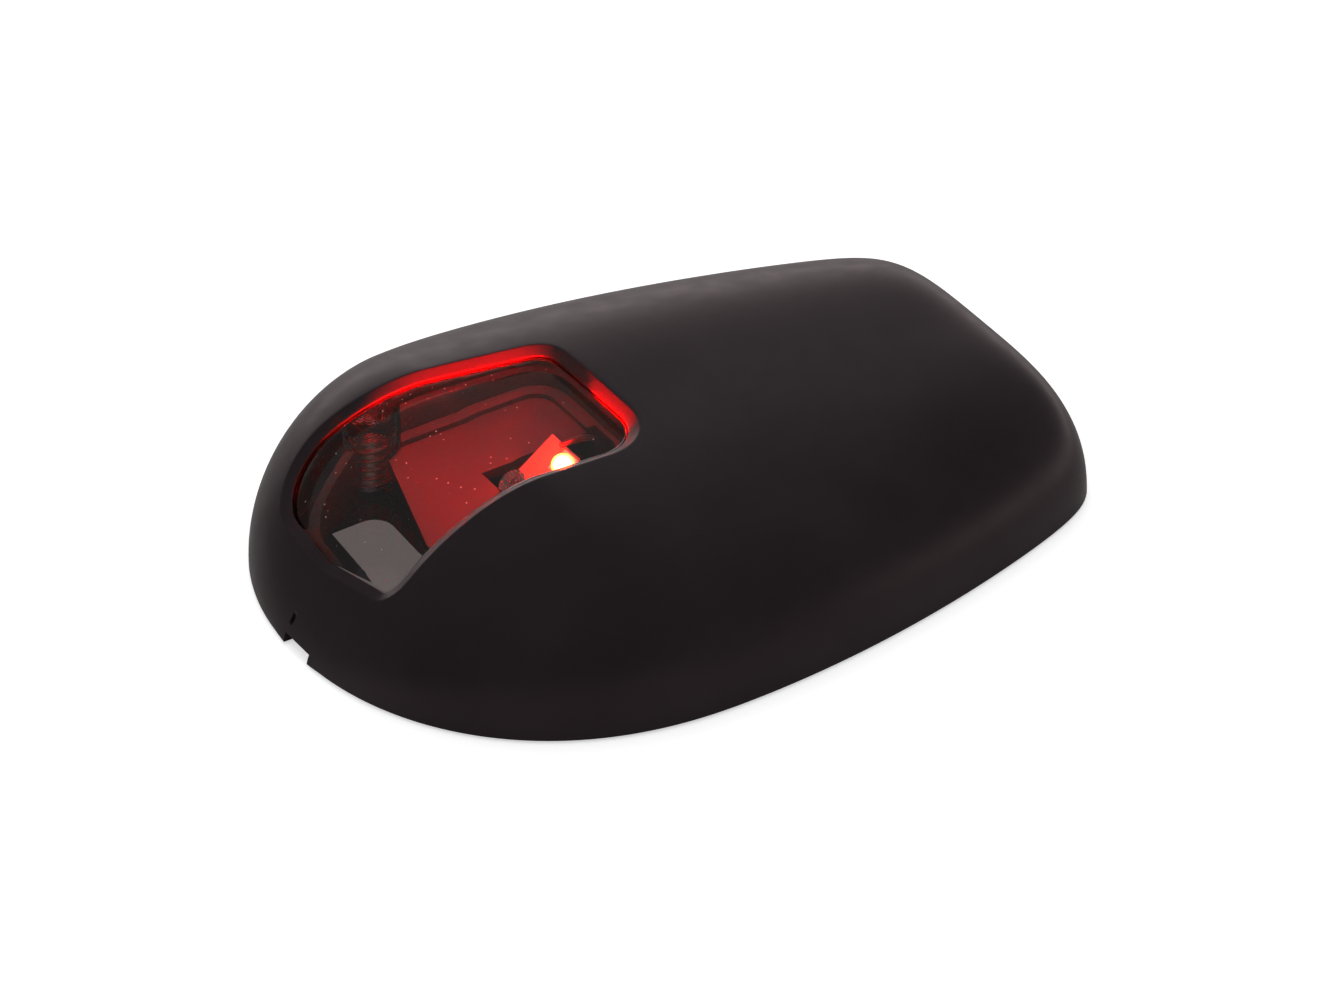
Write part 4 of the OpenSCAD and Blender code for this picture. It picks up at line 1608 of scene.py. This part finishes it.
@dataclass
class Studio:
    """Pale floor, soft lamps and the camera."""

    forward: Triple = (-0.4266, -0.7016, -0.5707)
    right: Triple = (-0.8545, 0.5195, 0.0)
    roll: float = -0.0203
    distance: float = 0.898
    aim: Span = (0.0018, 0.0024)
    focal: float = 221.0
    sensor: float = 36.0
    clip: Span = (0.05, 20.0)
    floor_half: float = 4.0
    floor_z: float = -0.0003
    floor_white: str = "#f2f2f2"
    floor_lift: float = 0.55
    floor_bounce: str = "#d6cecd"
    # painted shade: fixed grey glow of the floor seen through clear pieces
    floor_painted_shade: str = "#6b6260"
    ambient: float = 0.45
    backdrop: Triple = (-0.9, -0.44, 0.0)
    backdrop_low: Span = (0.1, 0.34)  # heights between which the backdrop ends
    backdrop_side: Span = (0.05, 0.6)  # shares of its direction between which it begins
    backdrop_tint: str = "#fff0f0"
    bright: float = 2.0
    dim: float = 0.1
    lamps: tuple[tuple[str, Triple, float, float], ...] = (
        ("key_soft", (-0.35, -0.75, 0.75), 40.0, 0.5),
        ("top_soft", (0.25, 0.1, 1.0), 70.0, 0.6),
    )

    def floor(self) -> None:
        """Makes the pale floor: lifted to white for the camera, and a fixed grey glow where it shows through clear
        pieces, painted shade for the ground under the housing.
        """
        skin = Skin()
        skin.add(np.array([[-1, -1, 0], [1, -1, 0], [1, 1, 0], [-1, 1, 0]]) * self.floor_half / MM)
        skin.faces = [[0, 1, 2, 3]]
        plane = skin.piece("studio_floor")
        plane.location.z = self.floor_z
        paper = bpy.data.materials.new("floor_paper_white")
        add = partial(add_node, empty_tree(paper))
        path = add("LightPath").outputs
        white = add("BsdfDiffuse", {"Color": linear(self.floor_white)})
        lift = add("Emission", {"Color": (1, 1, 1, 1), "Strength": self.floor_lift})
        seen = add("AddShader", {0: white.outputs[0], 1: lift.outputs[0]})
        plain = add("BsdfDiffuse", {"Color": linear(self.floor_bounce)})
        # painted shade: the floor glows this grey for rays through clear pieces, whatever light falls there
        inside = add("Emission", {"Color": linear(self.floor_painted_shade), "Strength": 1.0})
        other = add("MixShader", {0: path["Is Transmission Ray"], 1: plain.outputs[0], 2: inside.outputs[0]})
        last = add("MixShader", {0: path["Is Camera Ray"], 1: other.outputs[0], 2: seen.outputs[0]})
        add("OutputMaterial", {"Surface": last.outputs[0]})
        plane.data.materials.append(paper)

    def world(self) -> None:
        """Makes the surroundings: white to the camera, in reflections a bright low backdrop in a dim room."""
        world = bpy.data.worlds.new("studio_surround")
        bpy.context.scene.world = world
        add = partial(add_node, empty_tree(world))
        ease = partial(add, "MapRange", interpolation_type="SMOOTHSTEP")
        path = add("LightPath").outputs
        way = add("TexCoord").outputs["Generated"]
        up = add("SeparateXYZ", {0: way}).outputs[2]
        behind = add("VectorMath", {0: way, 1: self.backdrop}, operation="DOT_PRODUCT").outputs["Value"]
        low = ease({0: up, 1: self.backdrop_low[0], 2: self.backdrop_low[1], 3: 1.0, 4: 0.0})
        far = ease({0: behind, 1: self.backdrop_side[0], 2: self.backdrop_side[1], 3: 0.0, 4: 1.0})
        wall = add("Math", {0: low.outputs[0], 1: far.outputs[0]}, operation="MULTIPLY")
        glow = add("MapRange", {0: wall.outputs[0], 1: 0.0, 2: 1.0, 3: self.dim, 4: self.bright})
        light = add("Background", {"Color": (1, 1, 1, 1), "Strength": self.ambient})
        mirror = add("Background", {"Color": linear(self.backdrop_tint), "Strength": glow.outputs[0]})
        white = add("Background", {"Color": (1, 1, 1, 1), "Strength": 1.0})
        sharp_rays = {0: path["Is Glossy Ray"], 1: path["Is Transmission Ray"]}
        gloss = add("Math", sharp_rays, operation="ADD", use_clamp=True)
        first = add("MixShader", {0: gloss.outputs[0], 1: light.outputs[0], 2: mirror.outputs[0]})
        last = add("MixShader", {0: path["Is Camera Ray"], 1: first.outputs[0], 2: white.outputs[0]})
        add("OutputWorld", {"Surface": last.outputs[0]})

    def light(self) -> None:
        """Makes the soft lamps, each wide and far away."""
        for name, towards_lamp, spread, strength in self.lamps:
            lamp = bpy.data.lights.new(name, "SUN")
            lamp.angle, lamp.energy = math.radians(spread), strength
            made = bpy.data.objects.new(name, lamp)
            made.visible_glossy = made.visible_transmission = False
            bpy.context.scene.collection.objects.link(made)
            made.rotation_euler = Vector(towards_lamp).to_track_quat("Z", "Y").to_euler()

    def camera(self) -> None:
        """Sets the camera at the viewing angle."""
        forward = Vector(self.forward).normalized()
        right = Vector(self.right).normalized()
        up = right.cross(forward).normalized()
        across = right * math.cos(self.roll) + up * math.sin(self.roll)
        upright = up * math.cos(self.roll) - right * math.sin(self.roll)
        target = across * self.aim[0] + upright * self.aim[1]
        lens = bpy.data.cameras.new("main_camera")
        lens.lens, lens.sensor_width = self.focal, self.sensor
        lens.clip_start, lens.clip_end = self.clip
        made = bpy.data.objects.new("main_camera", lens)
        bpy.context.scene.collection.objects.link(made)
        turn = Matrix((across, upright, -forward)).transposed().to_4x4()
        made.matrix_world = Matrix.Translation(target - forward * self.distance) @ turn
        bpy.context.scene.camera = made

    def build(self) -> None:
        """Makes the whole studio."""
        self.floor()
        self.world()
        self.light()
        self.camera()
        bpy.context.scene.view_settings.view_transform = "Standard"


def main() -> None:
    """Builds the light from the hull outwards, then the studio."""
    logging.basicConfig(level=logging.INFO, format="%(message)s")
    HullSide().dress()
    Driver().dress()
    LightChamber().dress()
    ClearLens().dress()
    ClipCover().dress()
    Studio().build()


if __name__ == "__main__":
    main()
